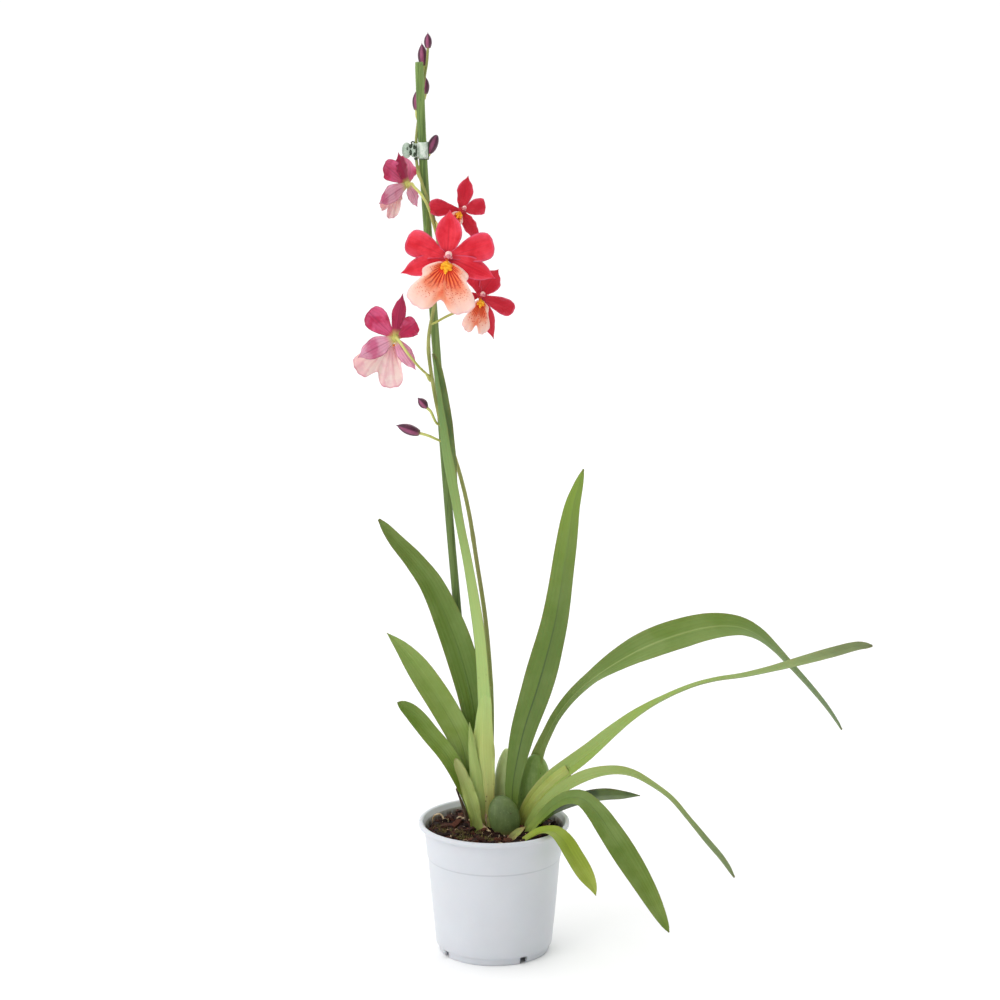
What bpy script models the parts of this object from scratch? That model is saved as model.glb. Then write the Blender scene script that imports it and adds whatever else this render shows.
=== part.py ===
"""Oncidium orchid in its nursery pot, with a flower stem tied to a green stake.

The origin is on the pot's axis, at the level of the surface that the pot stands on.
X runs to the viewer's right, Y away from the viewer and Z up. Sizes below are in
millimetres, and each piece is turned into metres as it becomes an object.
"""

import math
import random

import bmesh
import bpy
from mathutils import Matrix, Vector

# Driving dimensions
METRES = 0.001
GAP = 0.3
POT_HEIGHT = 106.0
RIM_RADIUS = 59.5
RIM_LIP = 3.4
RIM_DROP = 4.0
WALL_TOP_RADIUS = 55.6
STEP_HEIGHT = 78.0
STEP_DEPTH = 0.6
FOOT_RADIUS = 43.6
FOOT_HEIGHT = 6.0
WALL_FOOT_RADIUS = 45.9
WALL = 1.3
UNDERSIDE_HEIGHT = 3.5
NOTCH_WIDTH = 6.2
NOTCH_TURNS = (-58.0, 32.0, 122.0, 212.0)
DRAIN_RADIUS = 3.6
SOIL_HEIGHT = 97.5
CHIP_RELIEF = 2.6
STAKE_RADIUS = 3.2
STEM_BASE_RADIUS = 2.0
STEM_TOP_RADIUS = 0.95
PEDICEL_RADIUS = 0.95
LEAF_THICKNESS = 0.8
PETAL_THICKNESS = 0.7
POT_SIDES = 36

# Colours as linear red, green and blue, each with a roughness
LOOKS = {
    "pot": ((0.72, 0.75, 0.79), 0.45),
    "bark": ((0.10, 0.042, 0.025), 0.95),
    "stake": ((0.09, 0.24, 0.06), 0.5),
    "clip": ((0.62, 0.72, 0.60), 0.35),
    "stem": ((0.33, 0.42, 0.11), 0.5),
    "leaf": ((0.15, 0.30, 0.045), 0.4),
    "young_leaf": ((0.33, 0.44, 0.03), 0.4),
    "sheath": ((0.42, 0.50, 0.16), 0.55),
    "bulb": ((0.13, 0.25, 0.06), 0.4),
    "dry": ((0.09, 0.055, 0.04), 0.9),
    "red": ((0.66, 0.02, 0.05), 0.45),
    "lip": ((0.88, 0.40, 0.27), 0.5),
    "column": ((0.85, 0.52, 0.55), 0.4),
    "bud": ((0.12, 0.02, 0.055), 0.45),
}


# Shared making functions
def clear_scene():
    for old in list(bpy.data.objects):
        bpy.data.objects.remove(old, do_unlink=True)


def material(name, look):
    """A piece's own material, with the colour and roughness of its look."""
    colour, roughness = LOOKS[look]
    made = bpy.data.materials.new(name)
    made.use_nodes = True
    shader = made.node_tree.nodes["Principled BSDF"]
    shader.inputs["Base Color"].default_value = (*colour, 1.0)
    shader.inputs["Roughness"].default_value = roughness
    shader.inputs["Metallic"].default_value = 0.0
    made.diffuse_color = (*colour, 1.0)
    return made


def finish(name, shape, look=None):
    """Turns a bmesh in millimetres into a named object in metres.

    A cutter, or a part that is about to be joined to another, has no look of its own.
    """
    bmesh.ops.scale(shape, vec=(METRES, METRES, METRES), verts=shape.verts)
    bmesh.ops.triangulate(shape, faces=shape.faces)
    bmesh.ops.recalc_face_normals(shape, faces=shape.faces)
    mesh = bpy.data.meshes.new(name)
    shape.to_mesh(mesh)
    shape.free()
    mesh.shade_smooth()
    mesh.set_sharp_from_angle(angle=math.radians(50))
    if look:
        mesh.materials.append(material(name, look))
    made = bpy.data.objects.new(name, mesh)
    bpy.context.scene.collection.objects.link(made)
    return made


def keep_main_shell(mesh):
    """Keeps the widest shell alone, which fills sealed hollows and drops loose scraps."""
    shape = bmesh.new()
    shape.from_mesh(mesh)
    bmesh.ops.remove_doubles(shape, verts=shape.verts, dist=1e-7)
    shells, seen = [], set()
    for start in shape.verts:
        if start in seen:
            continue
        shell, edge_of_search = [], [start]
        seen.add(start)
        while edge_of_search:
            vert = edge_of_search.pop()
            shell.append(vert)
            for edge in vert.link_edges:
                other = edge.other_vert(vert)
                if other not in seen:
                    seen.add(other)
                    edge_of_search.append(other)
        shells.append(shell)

    def reach(shell):
        return sum(
            max(vert.co[k] for vert in shell) - min(vert.co[k] for vert in shell)
            for k in range(3)
        )

    main = max(shells, key=reach)
    spare = [vert for shell in shells if shell is not main for vert in shell]
    bmesh.ops.delete(shape, geom=spare, context="VERTS")
    shape.to_mesh(mesh)
    shape.free()


def combine(whole, others, operation):
    """Applies one Boolean between an object and a collection of others, then removes them."""
    group = bpy.data.collections.new("pieces")
    bpy.context.scene.collection.children.link(group)
    for other in others:
        group.objects.link(other)
    join = whole.modifiers.new("join", "BOOLEAN")
    join.operation = operation
    join.operand_type = "COLLECTION"
    join.collection = group
    bpy.context.view_layer.update()
    graph = bpy.context.evaluated_depsgraph_get()
    joined = bpy.data.meshes.new_from_object(whole.evaluated_get(graph))
    whole.modifiers.clear()
    keep_main_shell(joined)
    whole.data = joined
    for other in others:
        bpy.data.objects.remove(other, do_unlink=True)
    bpy.data.collections.remove(group)
    return whole


def fattened(source, by):
    """A copy of an object with its surface moved out, for cutting a hole with clearance."""
    shape = bmesh.new()
    shape.from_mesh(source.data)
    shape.normal_update()
    for vert in shape.verts:
        vert.co += vert.normal * by * METRES * min(vert.calc_shell_factor(), 2.0)
    mesh = bpy.data.meshes.new("cutter")
    shape.to_mesh(mesh)
    shape.free()
    cutter = bpy.data.objects.new("cutter", mesh)
    bpy.context.scene.collection.objects.link(cutter)
    return cutter


def smooth_route(points, count):
    """Evenly spaced points, count of them, on a smooth curve through the given ones."""
    knots = [Vector(p) for p in points]
    times = [0.0]
    for a, b in zip(knots, knots[1:]):
        times.append(times[-1] + (b - a).length)
    last = len(knots) - 1

    def slope(k):
        low, high = max(k - 1, 0), min(k + 1, last)
        return (knots[high] - knots[low]) / (times[high] - times[low])

    fine = []
    for k in range(last):
        span = times[k + 1] - times[k]
        for step in range(12):
            t = step / 12
            h00, h10 = (1 + 2 * t) * (1 - t) ** 2, t * (1 - t) ** 2
            h01, h11 = t * t * (3 - 2 * t), t * t * (t - 1)
            fine.append(
                knots[k] * h00
                + slope(k) * (h10 * span)
                + knots[k + 1] * h01
                + slope(k + 1) * (h11 * span)
            )
    fine.append(knots[-1])
    reach = [0.0]
    for a, b in zip(fine, fine[1:]):
        reach.append(reach[-1] + (b - a).length)
    even, k = [], 0
    for step in range(count):
        want = reach[-1] * step / (count - 1)
        while k < len(fine) - 2 and reach[k + 1] < want:
            k += 1
        share = (want - reach[k]) / (reach[k + 1] - reach[k])
        even.append(fine[k].lerp(fine[k + 1], share))
    return even


def directions(points):
    """The unit direction of travel at each point."""
    found = []
    for k in range(len(points)):
        low, high = max(k - 1, 0), min(k + 1, len(points) - 1)
        found.append((points[high] - points[low]).normalized())
    return found


def tube(route, radius, rings, sides):
    """A closed tube along a route. The radius is a function of the share of its length."""
    points = smooth_route(route, rings)
    ways = directions(points)
    shape = bmesh.new()
    across = ways[0].orthogonal().normalized()
    loops = []
    for k, (point, way) in enumerate(zip(points, ways)):
        across = (across - way * across.dot(way)).normalized()
        lift = way.cross(across)
        size = radius(k / (rings - 1))
        loop = []
        for n in range(sides):
            turn = 2 * math.pi * n / sides
            offset = across * math.cos(turn) + lift * math.sin(turn)
            loop.append(shape.verts.new(point + offset * size))
        loops.append(loop)
    for low, high in zip(loops, loops[1:]):
        for n in range(sides):
            shape.faces.new((low[n], low[n - 1], high[n - 1], high[n]))
    shape.faces.new(loops[0])
    shape.faces.new(list(reversed(loops[-1])))
    return shape


def blade(route, width, face, rows, columns=4, fold=0.3, base=0.35, widest=0.45,
          tip=1.5, blunt=1.0, crowd=1.2, ripple=0.0, waves=4, thickness=LEAF_THICKNESS):
    """A thin closed strap along a route: a leaf, sepal or petal.

    face gives the ways that its upper side looks, evenly from base to tip. fold lifts
    its edges above the midrib, base is the share of its width at its foot, widest says
    where it is broadest, and tip and blunt how full it stays up to its end. crowd sets
    its rows closer near the tip. ripple waves its edges.
    """
    steps = rows * 6
    points = smooth_route(route, steps + 1)
    ways = directions(points)
    looks = [Vector(f) for f in face]
    shape = bmesh.new()
    bmesh.ops.create_grid(shape, x_segments=columns, y_segments=rows, size=1.0)
    for vert in shape.verts:
        v, s = vert.co.x, 1 - (1 - (vert.co.y + 1) / 2) ** crowd
        k = round(s * steps)
        span = min(int(s * (len(looks) - 1)), len(looks) - 2)
        look = looks[span].lerp(looks[span + 1], s * (len(looks) - 1) - span)
        side = ways[k].cross(look).normalized()
        up = side.cross(ways[k])
        if s < widest:
            half = base + (1 - base) * math.sin(math.pi / 2 * s / widest)
        else:
            past = (s - widest) / (1 - widest)
            half = max(math.cos(math.pi / 2 * past ** tip), 0.0) ** blunt
        half = max(half * width / 2, 0.6)
        wave = ripple * abs(v) ** 2 * math.sin(waves * math.pi * s + 1.3 * v)
        lift = fold * (math.sqrt(v * v + 0.02) - 0.14) * half + wave * half / width * 2
        vert.co = points[k] + side * (v * half) + up * lift
    bmesh.ops.triangulate(shape, faces=shape.faces)
    bmesh.ops.solidify(shape, geom=shape.faces[:], thickness=thickness)
    bmesh.ops.recalc_face_normals(shape, faces=shape.faces)
    return shape


def turned(profile, sides):
    """A closed body turned about Z from (radius, height) points that form a closed loop."""
    shape = bmesh.new()
    ring = [shape.verts.new((r, 0.0, z)) for r, z in profile]
    edges = [shape.edges.new((a, b)) for a, b in zip(ring, ring[1:])]
    bmesh.ops.spin(
        shape, geom=ring + edges, cent=(0, 0, 0), axis=(0, 0, 1),
        angle=2 * math.pi, steps=sides, use_merge=True,
    )
    bmesh.ops.remove_doubles(shape, verts=shape.verts, dist=0.001)
    bmesh.ops.recalc_face_normals(shape, faces=shape.faces)
    return shape


def ellipsoid(centre, radii, rows=8, sides=14, turn=(0.0, 0.0, 0.0)):
    """A rounded body with semi-axes radii."""
    shape = bmesh.new()
    bmesh.ops.create_uvsphere(shape, u_segments=sides, v_segments=rows, radius=1.0)
    bmesh.ops.scale(shape, vec=radii, verts=shape.verts)
    for angle, axis in zip(turn, "XYZ"):
        bmesh.ops.rotate(
            shape, verts=shape.verts, matrix=Matrix.Rotation(math.radians(angle), 3, axis)
        )
    bmesh.ops.translate(shape, vec=centre, verts=shape.verts)
    return shape


# Pot: one injection moulding with a rolled rim, a step ring and a notched foot
def make_pot():
    wall_slope = (WALL_TOP_RADIUS - WALL_FOOT_RADIUS) / (POT_HEIGHT - FOOT_HEIGHT)

    def wall_radius(z):
        return WALL_FOOT_RADIUS + wall_slope * (z - FOOT_HEIGHT)

    inner_rim = RIM_RADIUS - RIM_LIP
    profile = [
        (0.0, UNDERSIDE_HEIGHT),
        (FOOT_RADIUS - 4.2, UNDERSIDE_HEIGHT),
        (FOOT_RADIUS - 3.4, 0.0),
        (FOOT_RADIUS - 0.4, 0.0),
        (FOOT_RADIUS + 0.8, FOOT_HEIGHT - 0.4),
        (WALL_FOOT_RADIUS, FOOT_HEIGHT + 0.4),
        (wall_radius(STEP_HEIGHT) - STEP_DEPTH, STEP_HEIGHT - 0.4),
        (wall_radius(STEP_HEIGHT), STEP_HEIGHT + 0.3),
        (WALL_TOP_RADIUS - 0.3, POT_HEIGHT - RIM_DROP - 0.8),
        (RIM_RADIUS - 0.9, POT_HEIGHT - RIM_DROP),
        (RIM_RADIUS, POT_HEIGHT - RIM_DROP + 0.8),
        (RIM_RADIUS, POT_HEIGHT - 1.1),
        (RIM_RADIUS - 0.9, POT_HEIGHT),
        (inner_rim + 0.8, POT_HEIGHT),
        (inner_rim, POT_HEIGHT - 0.8),
        (WALL_TOP_RADIUS - WALL - 0.5, POT_HEIGHT - RIM_DROP - 1.5),
        (WALL_FOOT_RADIUS - WALL - 0.8, UNDERSIDE_HEIGHT + WALL),
        (0.0, UNDERSIDE_HEIGHT + WALL),
    ]
    pot = finish("pot", turned(profile, POT_SIDES), "pot")
    cutters = []
    for turn in NOTCH_TURNS:
        angle = math.radians(turn - 90.0)
        notch = bmesh.new()
        bmesh.ops.create_cube(notch, size=1.0)
        bmesh.ops.scale(notch, vec=(12.0, NOTCH_WIDTH, 9.0), verts=notch.verts)
        bmesh.ops.translate(notch, vec=(FOOT_RADIUS - 0.2, 0.0, 0.9), verts=notch.verts)
        bmesh.ops.rotate(
            notch, verts=notch.verts, matrix=Matrix.Rotation(angle, 3, "Z")
        )
        cutters.append(finish("notch", notch))
        hole = bmesh.new()
        bmesh.ops.create_cone(
            hole, cap_ends=True, segments=12, radius1=DRAIN_RADIUS,
            radius2=DRAIN_RADIUS, depth=12.0,
        )
        bmesh.ops.translate(hole, vec=(26.0, 0.0, UNDERSIDE_HEIGHT), verts=hole.verts)
        bmesh.ops.rotate(
            hole, verts=hole.verts, matrix=Matrix.Rotation(angle + 0.8, 3, "Z")
        )
        cutters.append(finish("drain", hole))
    return combine(pot, cutters, "DIFFERENCE")


# Potting bark: a loose fill with chips standing up from it
def make_substrate(standing):
    chance = random.Random(7)
    chips = []
    while len(chips) < 64:
        x, y = chance.uniform(-52, 52), chance.uniform(-52, 52)
        if math.hypot(x, y) < 52:
            tilt = (chance.uniform(-0.28, 0.28), chance.uniform(-0.28, 0.28))
            chips.append((x, y, tilt, chance.uniform(0.0, CHIP_RELIEF)))

    def relief(x, y):
        cx, cy, tilt, lift = min(chips, key=lambda c: (c[0] - x) ** 2 + (c[1] - y) ** 2)
        return lift + tilt[0] * (x - cx) + tilt[1] * (y - cy)

    top_radius = WALL_TOP_RADIUS - WALL - 2.2
    floor_radius = WALL_FOOT_RADIUS - WALL - 2.6
    floor_height = UNDERSIDE_HEIGHT + WALL + GAP
    rings = 5
    profile = [(top_radius * k / rings, SOIL_HEIGHT) for k in range(rings + 1)]
    profile += [(floor_radius, floor_height), (0.0, floor_height)]
    shape = turned(profile, 26)
    for vert in shape.verts:
        r = math.hypot(vert.co.x, vert.co.y)
        if vert.co.z > SOIL_HEIGHT - 1 and r < top_radius - 1:
            vert.co.z += relief(vert.co.x, vert.co.y) * min(1.0, (top_radius - r) / 8)
    soil = finish("substrate", shape, "bark")
    return combine(soil, [fattened(piece, GAP * 1.4) for piece in standing], "DIFFERENCE")


# Stake: a green bamboo cane pushed into the bark, leaning left as it rises
STAKE_ROUTE = (
    (-14.5, 29.5, 22.0), (-16.0, 28.0, 100.0), (-21.2, 24.0, 177.0), (-28.6, 18.0, 272.0),
    (-34.6, 13.0, 348.0), (-42.9, 8.0, 465.0), (-46.5, 6.0, 516.0), (-51.0, 4.0, 586.0),
    (-53.8, 2.0, 636.0), (-56.0, 0.0, 702.0),
)

# Flower stem: rises behind the tall leaf, leaves it to the left, crosses in front of the
# stake and passes behind it above the clip
STEM_ROUTE = (
    (-4.0, 21.0, 84.0), (-4.0, 21.0, 116.0), (-2.4, 19.4, 149.0), (-2.0, 16.0, 199.0),
    (-6.2, 12.0, 262.0), (-13.6, 10.4, 314.8), (-20.4, 5.6, 359.2), (-29.5, 0.4, 396.6),
    (-40.6, -2.0, 427.0), (-47.4, 0.0, 461.0), (-49.9, -1.0, 490.0), (-44.7, -3.0, 522.0),
    (-42.1, 0.0, 560.0), (-46.0, -3.0, 587.0), (-52.0, -4.4, 605.0), (-57.2, -2.2, 621.0),
    (-58.6, 0.2, 632.0), (-58.6, 3.2, 643.0), (-57.2, 6.6, 656.0), (-54.9, 8.0, 669.0),
    (-52.4, 6.2, 688.0), (-50.1, 3.0, 702.0), (-49.3, 2.0, 711.4),
)

# Side stalks that grow from the stem, each ending just short of its flower or bud
BUD_STALKS = {
    "long": ((-35.0, -1.6, 410.0), (-41.5, -2.2, 412.2), (-50.2, -3.4, 416.4),
             (-56.4, -4.0, 418.4)),
    "small": ((-39.4, -2.0, 424.0), (-43.9, -2.8, 426.0), (-48.4, -4.2, 435.6),
              (-50.8, -4.7, 438.2)),
    "clip": ((-56.2, -3.0, 617.0), (-59.0, 3.6, 619.0), (-56.5, 7.4, 622.0),
             (-52.0, 8.6, 626.5), (-49.5, 8.6, 630.6)),
    "left": ((-57.0, 7.0, 657.0), (-58.2, 9.8, 660.0), (-58.4, 11.5, 664.0)),
    "right": ((-54.0, 7.6, 672.0), (-52.6, 10.0, 673.0), (-51.9, 11.6, 676.0)),
    "top": ((-52.2, 6.0, 689.0), (-52.6, 7.8, 693.0), (-52.7, 8.4, 697.6)),
}

# Buds: base, tip and greatest radius
BUDS = {
    "bud_lower_long": ((-57.4, -4.1, 418.7), (-76.8, -8.0, 426.4), 4.1),
    "bud_lower_small": ((-51.4, -4.9, 438.9), (-58.4, -7.5, 447.2), 3.4),
    "bud_at_clip": ((-49.1, 8.6, 631.4), (-43.9, 8.6, 645.4), 3.3),
    "bud_left_of_stake": ((-58.4, 12.0, 664.9), (-58.2, 12.4, 681.6), 2.9),
    "bud_right_of_stake": ((-51.7, 12.2, 676.9), (-51.3, 12.4, 691.4), 2.8),
    "bud_top_left": ((-52.8, 8.6, 698.6), (-54.2, 8.6, 717.4), 3.3),
    "bud_top_right": ((-49.2, 2.0, 712.3), (-49.4, 2.2, 725.2), 2.6),
}


def stem_radius(share):
    return STEM_BASE_RADIUS + (STEM_TOP_RADIUS - STEM_BASE_RADIUS) * share ** 1.2


def stalk_radius(share):
    return PEDICEL_RADIUS * (0.9 + 0.35 * share)


def make_stem(pedicels):
    stem = finish("flower_stem", tube(STEM_ROUTE, stem_radius, 44, 6), "stem")
    side = []
    for route in list(BUD_STALKS.values()):
        side.append(finish("stalk", tube(route, stalk_radius, 5, 5)))
    for route in pedicels:
        side.append(finish("stalk", tube(route, stalk_radius, 7, 5)))
    bracts = (
        ((-43.0, -2.4, 570.0), (-42.4, -4.6, 576.0), (-43.8, -6.6, 583.5)),
        ((-48.6, 0.6, 458.0), (-50.8, -1.6, 463.0), (-52.6, -4.0, 466.0)),
    )
    for route in bracts:
        shape = blade(route, 3.4, ((0.3, 1, 0.2), (0.3, 1, 0.2)), 4, 2, fold=0.5,
                      base=0.8, widest=0.3)
        side.append(finish("bract", shape))
    return combine(stem, side, "UNION")


def make_bud(name, base, tip, radius):
    """A closed bud: broadest below its middle and drawn out to a point."""
    def swell(share):
        return radius * (0.28 + 0.72 * math.sin(math.pi * min(share * 1.05 + 0.12, 1)) ** 0.8)

    base, tip = Vector(base), Vector(tip)
    belly = base.lerp(tip, 0.5)
    return finish(name, tube((base, belly, tip), swell, 7, 7), "bud")


# Clip: one moulding, a sleeve round stake and stem with a small domed beetle beside it
CLIP_CENTRE = (-53.8, 2.0, 635.7)
CLIP_HEIGHT = 12.6
BEETLE_CENTRE = (-65.6, -0.6, 635.8)
BEETLE_RADII = (3.7, 3.4, 6.0)


def make_clip(stake, stem):
    x, y, z = CLIP_CENTRE
    sleeve = bmesh.new()
    bmesh.ops.create_cone(
        sleeve, cap_ends=True, segments=14, radius1=STAKE_RADIUS + 1.3,
        radius2=STAKE_RADIUS + 1.3, depth=CLIP_HEIGHT,
    )
    bmesh.ops.translate(sleeve, vec=(x, y, z), verts=sleeve.verts)
    clip = finish("stem_clip", sleeve, "clip")
    keeper = bmesh.new()
    bmesh.ops.create_cone(
        keeper, cap_ends=True, segments=8, radius1=3.1, radius2=3.1,
        depth=CLIP_HEIGHT - 2,
    )
    bmesh.ops.translate(keeper, vec=(x - 4.8, y - 0.3, z), verts=keeper.verts)
    back = ellipsoid(BEETLE_CENTRE, BEETLE_RADII, 6, 9)
    head = ellipsoid((BEETLE_CENTRE[0] + 5.0, -1.4, z), (3.0, 2.2, 5.0), 5, 8)
    parts = [finish("part", shape) for shape in (keeper, back, head)]
    clip = combine(clip, parts, "UNION")
    return combine(clip, [fattened(stake, GAP), fattened(stem, GAP)], "DIFFERENCE")


# Leaves: each is a route up its midrib, a width, the way that it faces and its form
LEAVES = {
    "leaf_tall": dict(
        route=((-11.2, 9, 93), (-11.0, 8.4, 106), (-10.4, 6.5, 149.1), (-12.3, 1.5, 216.9),
               (-14.3, -1, 250.8), (-18.3, -4, 284.6), (-22.7, -7, 315.8),
               (-27.2, -9, 340.9), (-31.7, -10, 365.7), (-38.4, -11, 402.1),
               (-41.0, -11, 431.1), (-43.6, -12, 459.3), (-46.4, -12, 482)),
        width=14.5, face=((0.98, 0.1, 0.1), (0.95, -0.2, 0.1), (0.8, -0.6, 0.1),
                          (0.6, -0.75, 0.1), (0.8, -0.6, 0.1)), rows=20, fold=1.4,
        base=0.9, widest=0.3, tip=4.0, blunt=0.6, columns=2),
    "leaf_left_upper": dict(
        route=((-11.0, 16.5, 93), (-11.8, 16, 118), (-13.6, 14.5, 168), (-17.5, 12, 201),
               (-25.3, 9, 234), (-34.9, 7, 263), (-48.6, 5, 296), (-62.8, 3, 318.6),
               (-76.6, 1, 336), (-88.9, -2, 350)),
        width=24, face=((0.0, -0.97, 0.2), (0.3, -0.85, 0.45)), rows=15, fold=0.3,
        base=0.3, widest=0.6, tip=1.7),
    "leaf_left_middle": dict(
        route=((-14.4, 1.6, 93), (-15.2, 0.8, 116.6), (-20.5, -0.4, 148.3),
               (-26.3, -1.0, 172.2), (-38.2, -0.5, 195.5), (-54.9, 1, 222.0),
               (-70.4, 3, 243.5), (-83.7, 5, 257.6)),
        width=21, face=((0.1, -0.95, 0.3), (0.2, -0.85, 0.5)), rows=12, fold=0.3,
        base=0.24, widest=0.6, tip=1.7),
    "leaf_left_lower": dict(
        route=((-15.5, -5.0, 93.9), (-16.4, -5.6, 113.0), (-24.7, -8.1, 138.4),
               (-36.1, -10, 160.8), (-50.0, -13, 179.8), (-63.9, -16, 197.8),
               (-74.9, -20, 208.4)),
        width=15, face=((0.2, -0.9, 0.4), (0.3, -0.8, 0.5)), rows=10, fold=0.35,
        base=0.32, widest=0.6, tip=2.2, columns=2),
    "leaf_upright": dict(
        route=((14.2, -1.2, 93), (14.5, -1.4, 131.1), (17.7, -0.8, 153.1), (23.5, 0.2, 179.8),
               (33.6, 1.6, 212.0), (41.4, 3.4, 239.9), (48.6, 6, 270.7), (56.0, 12, 320.6),
               (61.0, 16, 354.9), (65.3, 18, 370.7), (69.6, 20, 385.0)),
        width=24.5, face=((-0.1, -1, 0.1), (-0.25, -0.95, 0.2)), rows=16, fold=0.42,
        base=0.22, widest=0.4, tip=2.2, blunt=0.8),
    "leaf_arching": dict(
        route=((33.5, 13, 150), (37.6, 14.5, 161.5), (42.4, 16.5, 171.5), (49.4, 20, 184.4),
               (61.5, 24, 199.4), (77.3, 29, 212.6), (96.4, 34, 224.6), (118.7, 40, 235.4),
               (144.2, 46, 244), (171.3, 50, 249.9), (193.6, 52, 249.4), (209, 52, 243),
               (222, 51, 232), (236.3, 49, 217), (252.6, 46, 199.4), (265.6, 43, 184),
               (277.0, 40, 168)),
        width=25, face=((-0.92, -0.0, 0.3), (-0.7, -0.45, 0.6), (0.0, -0.9, 0.45),
                        (0.7, -0.3, 0.6), (0.85, -0.3, 0.4)), rows=19, fold=0.3,
        base=0.22, widest=0.42, tip=1.2),
    "leaf_long_right": dict(
        route=((22.6, -0.2, 93), (25, -1.4, 110), (33, -4.6, 126), (45.5, -8, 141.0),
               (61.1, -10, 154.0), (75, -12, 165.4), (92, -14, 180.6), (110.5, -16, 196.0),
               (132.1, -17, 210.0), (153.7, -18, 220.4), (172.2, -18, 225.6),
               (194.7, -18, 229.0), (218, -17, 234), (241.2, -16, 240.5), (264.5, -14, 247),
               (282.5, -12, 251.5), (294.0, -10, 251)),
        width=14.5, face=((-0.3, -0.8, 0.5), (-0.45, -0.7, 0.5), (-0.5, 0.0, 0.85),
                          (-0.25, -0.2, 0.95), (-0.2, -0.95, 0.25)), rows=20,
        fold=0.4, base=0.5, widest=0.2, tip=2.0, columns=2),
    "leaf_right_drooping": dict(
        route=((25.6, -9.6, 93), (28.6, -10.6, 107), (40, -16.6, 125), (56.2, -22.6, 140.4),
               (74.7, -28, 151.4), (93.9, -34, 156.5), (108, -38, 155.0), (122.7, -42, 148),
               (137.0, -46, 138), (150.1, -50, 123), (163.3, -54, 107.6), (176.5, -57, 92.7),
               (186.2, -60, 79)),
        width=12.5, face=((-0.4, -0.65, 0.65), (-0.2, -0.6, 0.8), (0.4, -0.3, 0.85),
                          (0.8, -0.25, 0.5), (0.7, -0.6, 0.4)), rows=16,
        fold=0.35, base=0.45, widest=0.35, tip=1.6, columns=2),
    "leaf_right_back": dict(
        route=((32.5, 0.4, 93), (34, 1.0, 101), (40.5, 2.4, 107.5), (49, 7.4, 112),
               (64.3, 18, 115), (84.4, 28, 116.5), (102.2, 34, 115), (116.8, 39, 113.5)),
        width=14, face=((-0.3, -0.4, 0.85), (0.1, -0.45, 0.9)), rows=9, fold=0.3,
        base=0.3, widest=0.6, tip=1.4, columns=2),
    "leaf_front_drooping": dict(
        route=((24, -20, 93), (27.6, -21.6, 103), (36, -26, 116), (46, -31, 127.6),
               (56.7, -36, 135.5), (68.2, -42, 137), (79, -48, 128.3), (89.7, -55, 114.4),
               (103.5, -62, 94), (116.6, -68, 73.4), (126.6, -73, 55.6), (135.1, -77, 40.4)),
        width=19.5, face=((-0.45, -0.6, 0.65), (0.35, -0.85, 0.4)), rows=15, fold=0.28,
        base=0.36, widest=0.62, tip=1.5),
    "leaf_front_short": dict(
        route=((17.4, -31.4, 93), (21.4, -32.6, 98.4), (29.5, -35.4, 104.7),
               (38, -38.6, 109.5), (46, -43, 110.4), (53.6, -47.4, 105.3),
               (61, -52.4, 94.4), (69.6, -59, 82.4), (76, -63.4, 72.8), (78.9, -66.6, 66.5)),
        width=15.5, face=((-0.2, -0.4, 0.9), (0.0, -0.2, 0.97), (0.3, -0.7, 0.6),
                          (0.3, -0.85, 0.4)), rows=11, fold=0.28,
        base=0.34, widest=0.6, tip=1.8, columns=2),
    "sheath_left": dict(
        route=((-13.2, -9.8, 93), (-14.6, -10.4, 108.7), (-20.8, -12.6, 134.3),
               (-30.2, -15.0, 160.9)),
        width=7.4, face=((0.1, -0.95, 0.3), (0.3, -0.85, 0.4)), rows=7, columns=2, fold=0.4,
        base=0.7, widest=0.3, tip=1.5),
}
LEAF_LOOKS = {"leaf_front_short": "young_leaf", "sheath_left": "sheath"}

# Pseudobulbs: centre, semi-axes and lean in degrees about X, Y and Z
BULBS = {
    "pseudobulb_front": ((7.9, -12.4, 112.0), (12.4, 6.8, 18.0), (0, 0, 0)),
    "pseudobulb_right": ((31.0, 12.6, 124.0), (14.0, 8.0, 32.0), (0, 4, 0)),
    "pseudobulb_back": ((8.4, 23.0, 126.0), (8.2, 6.0, 33.0), (0, 4, 0)),
}


def make_leaf(name):
    shape = blade(**LEAVES[name])
    return finish(name, shape, LEAF_LOOKS.get(name, "leaf"))


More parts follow.
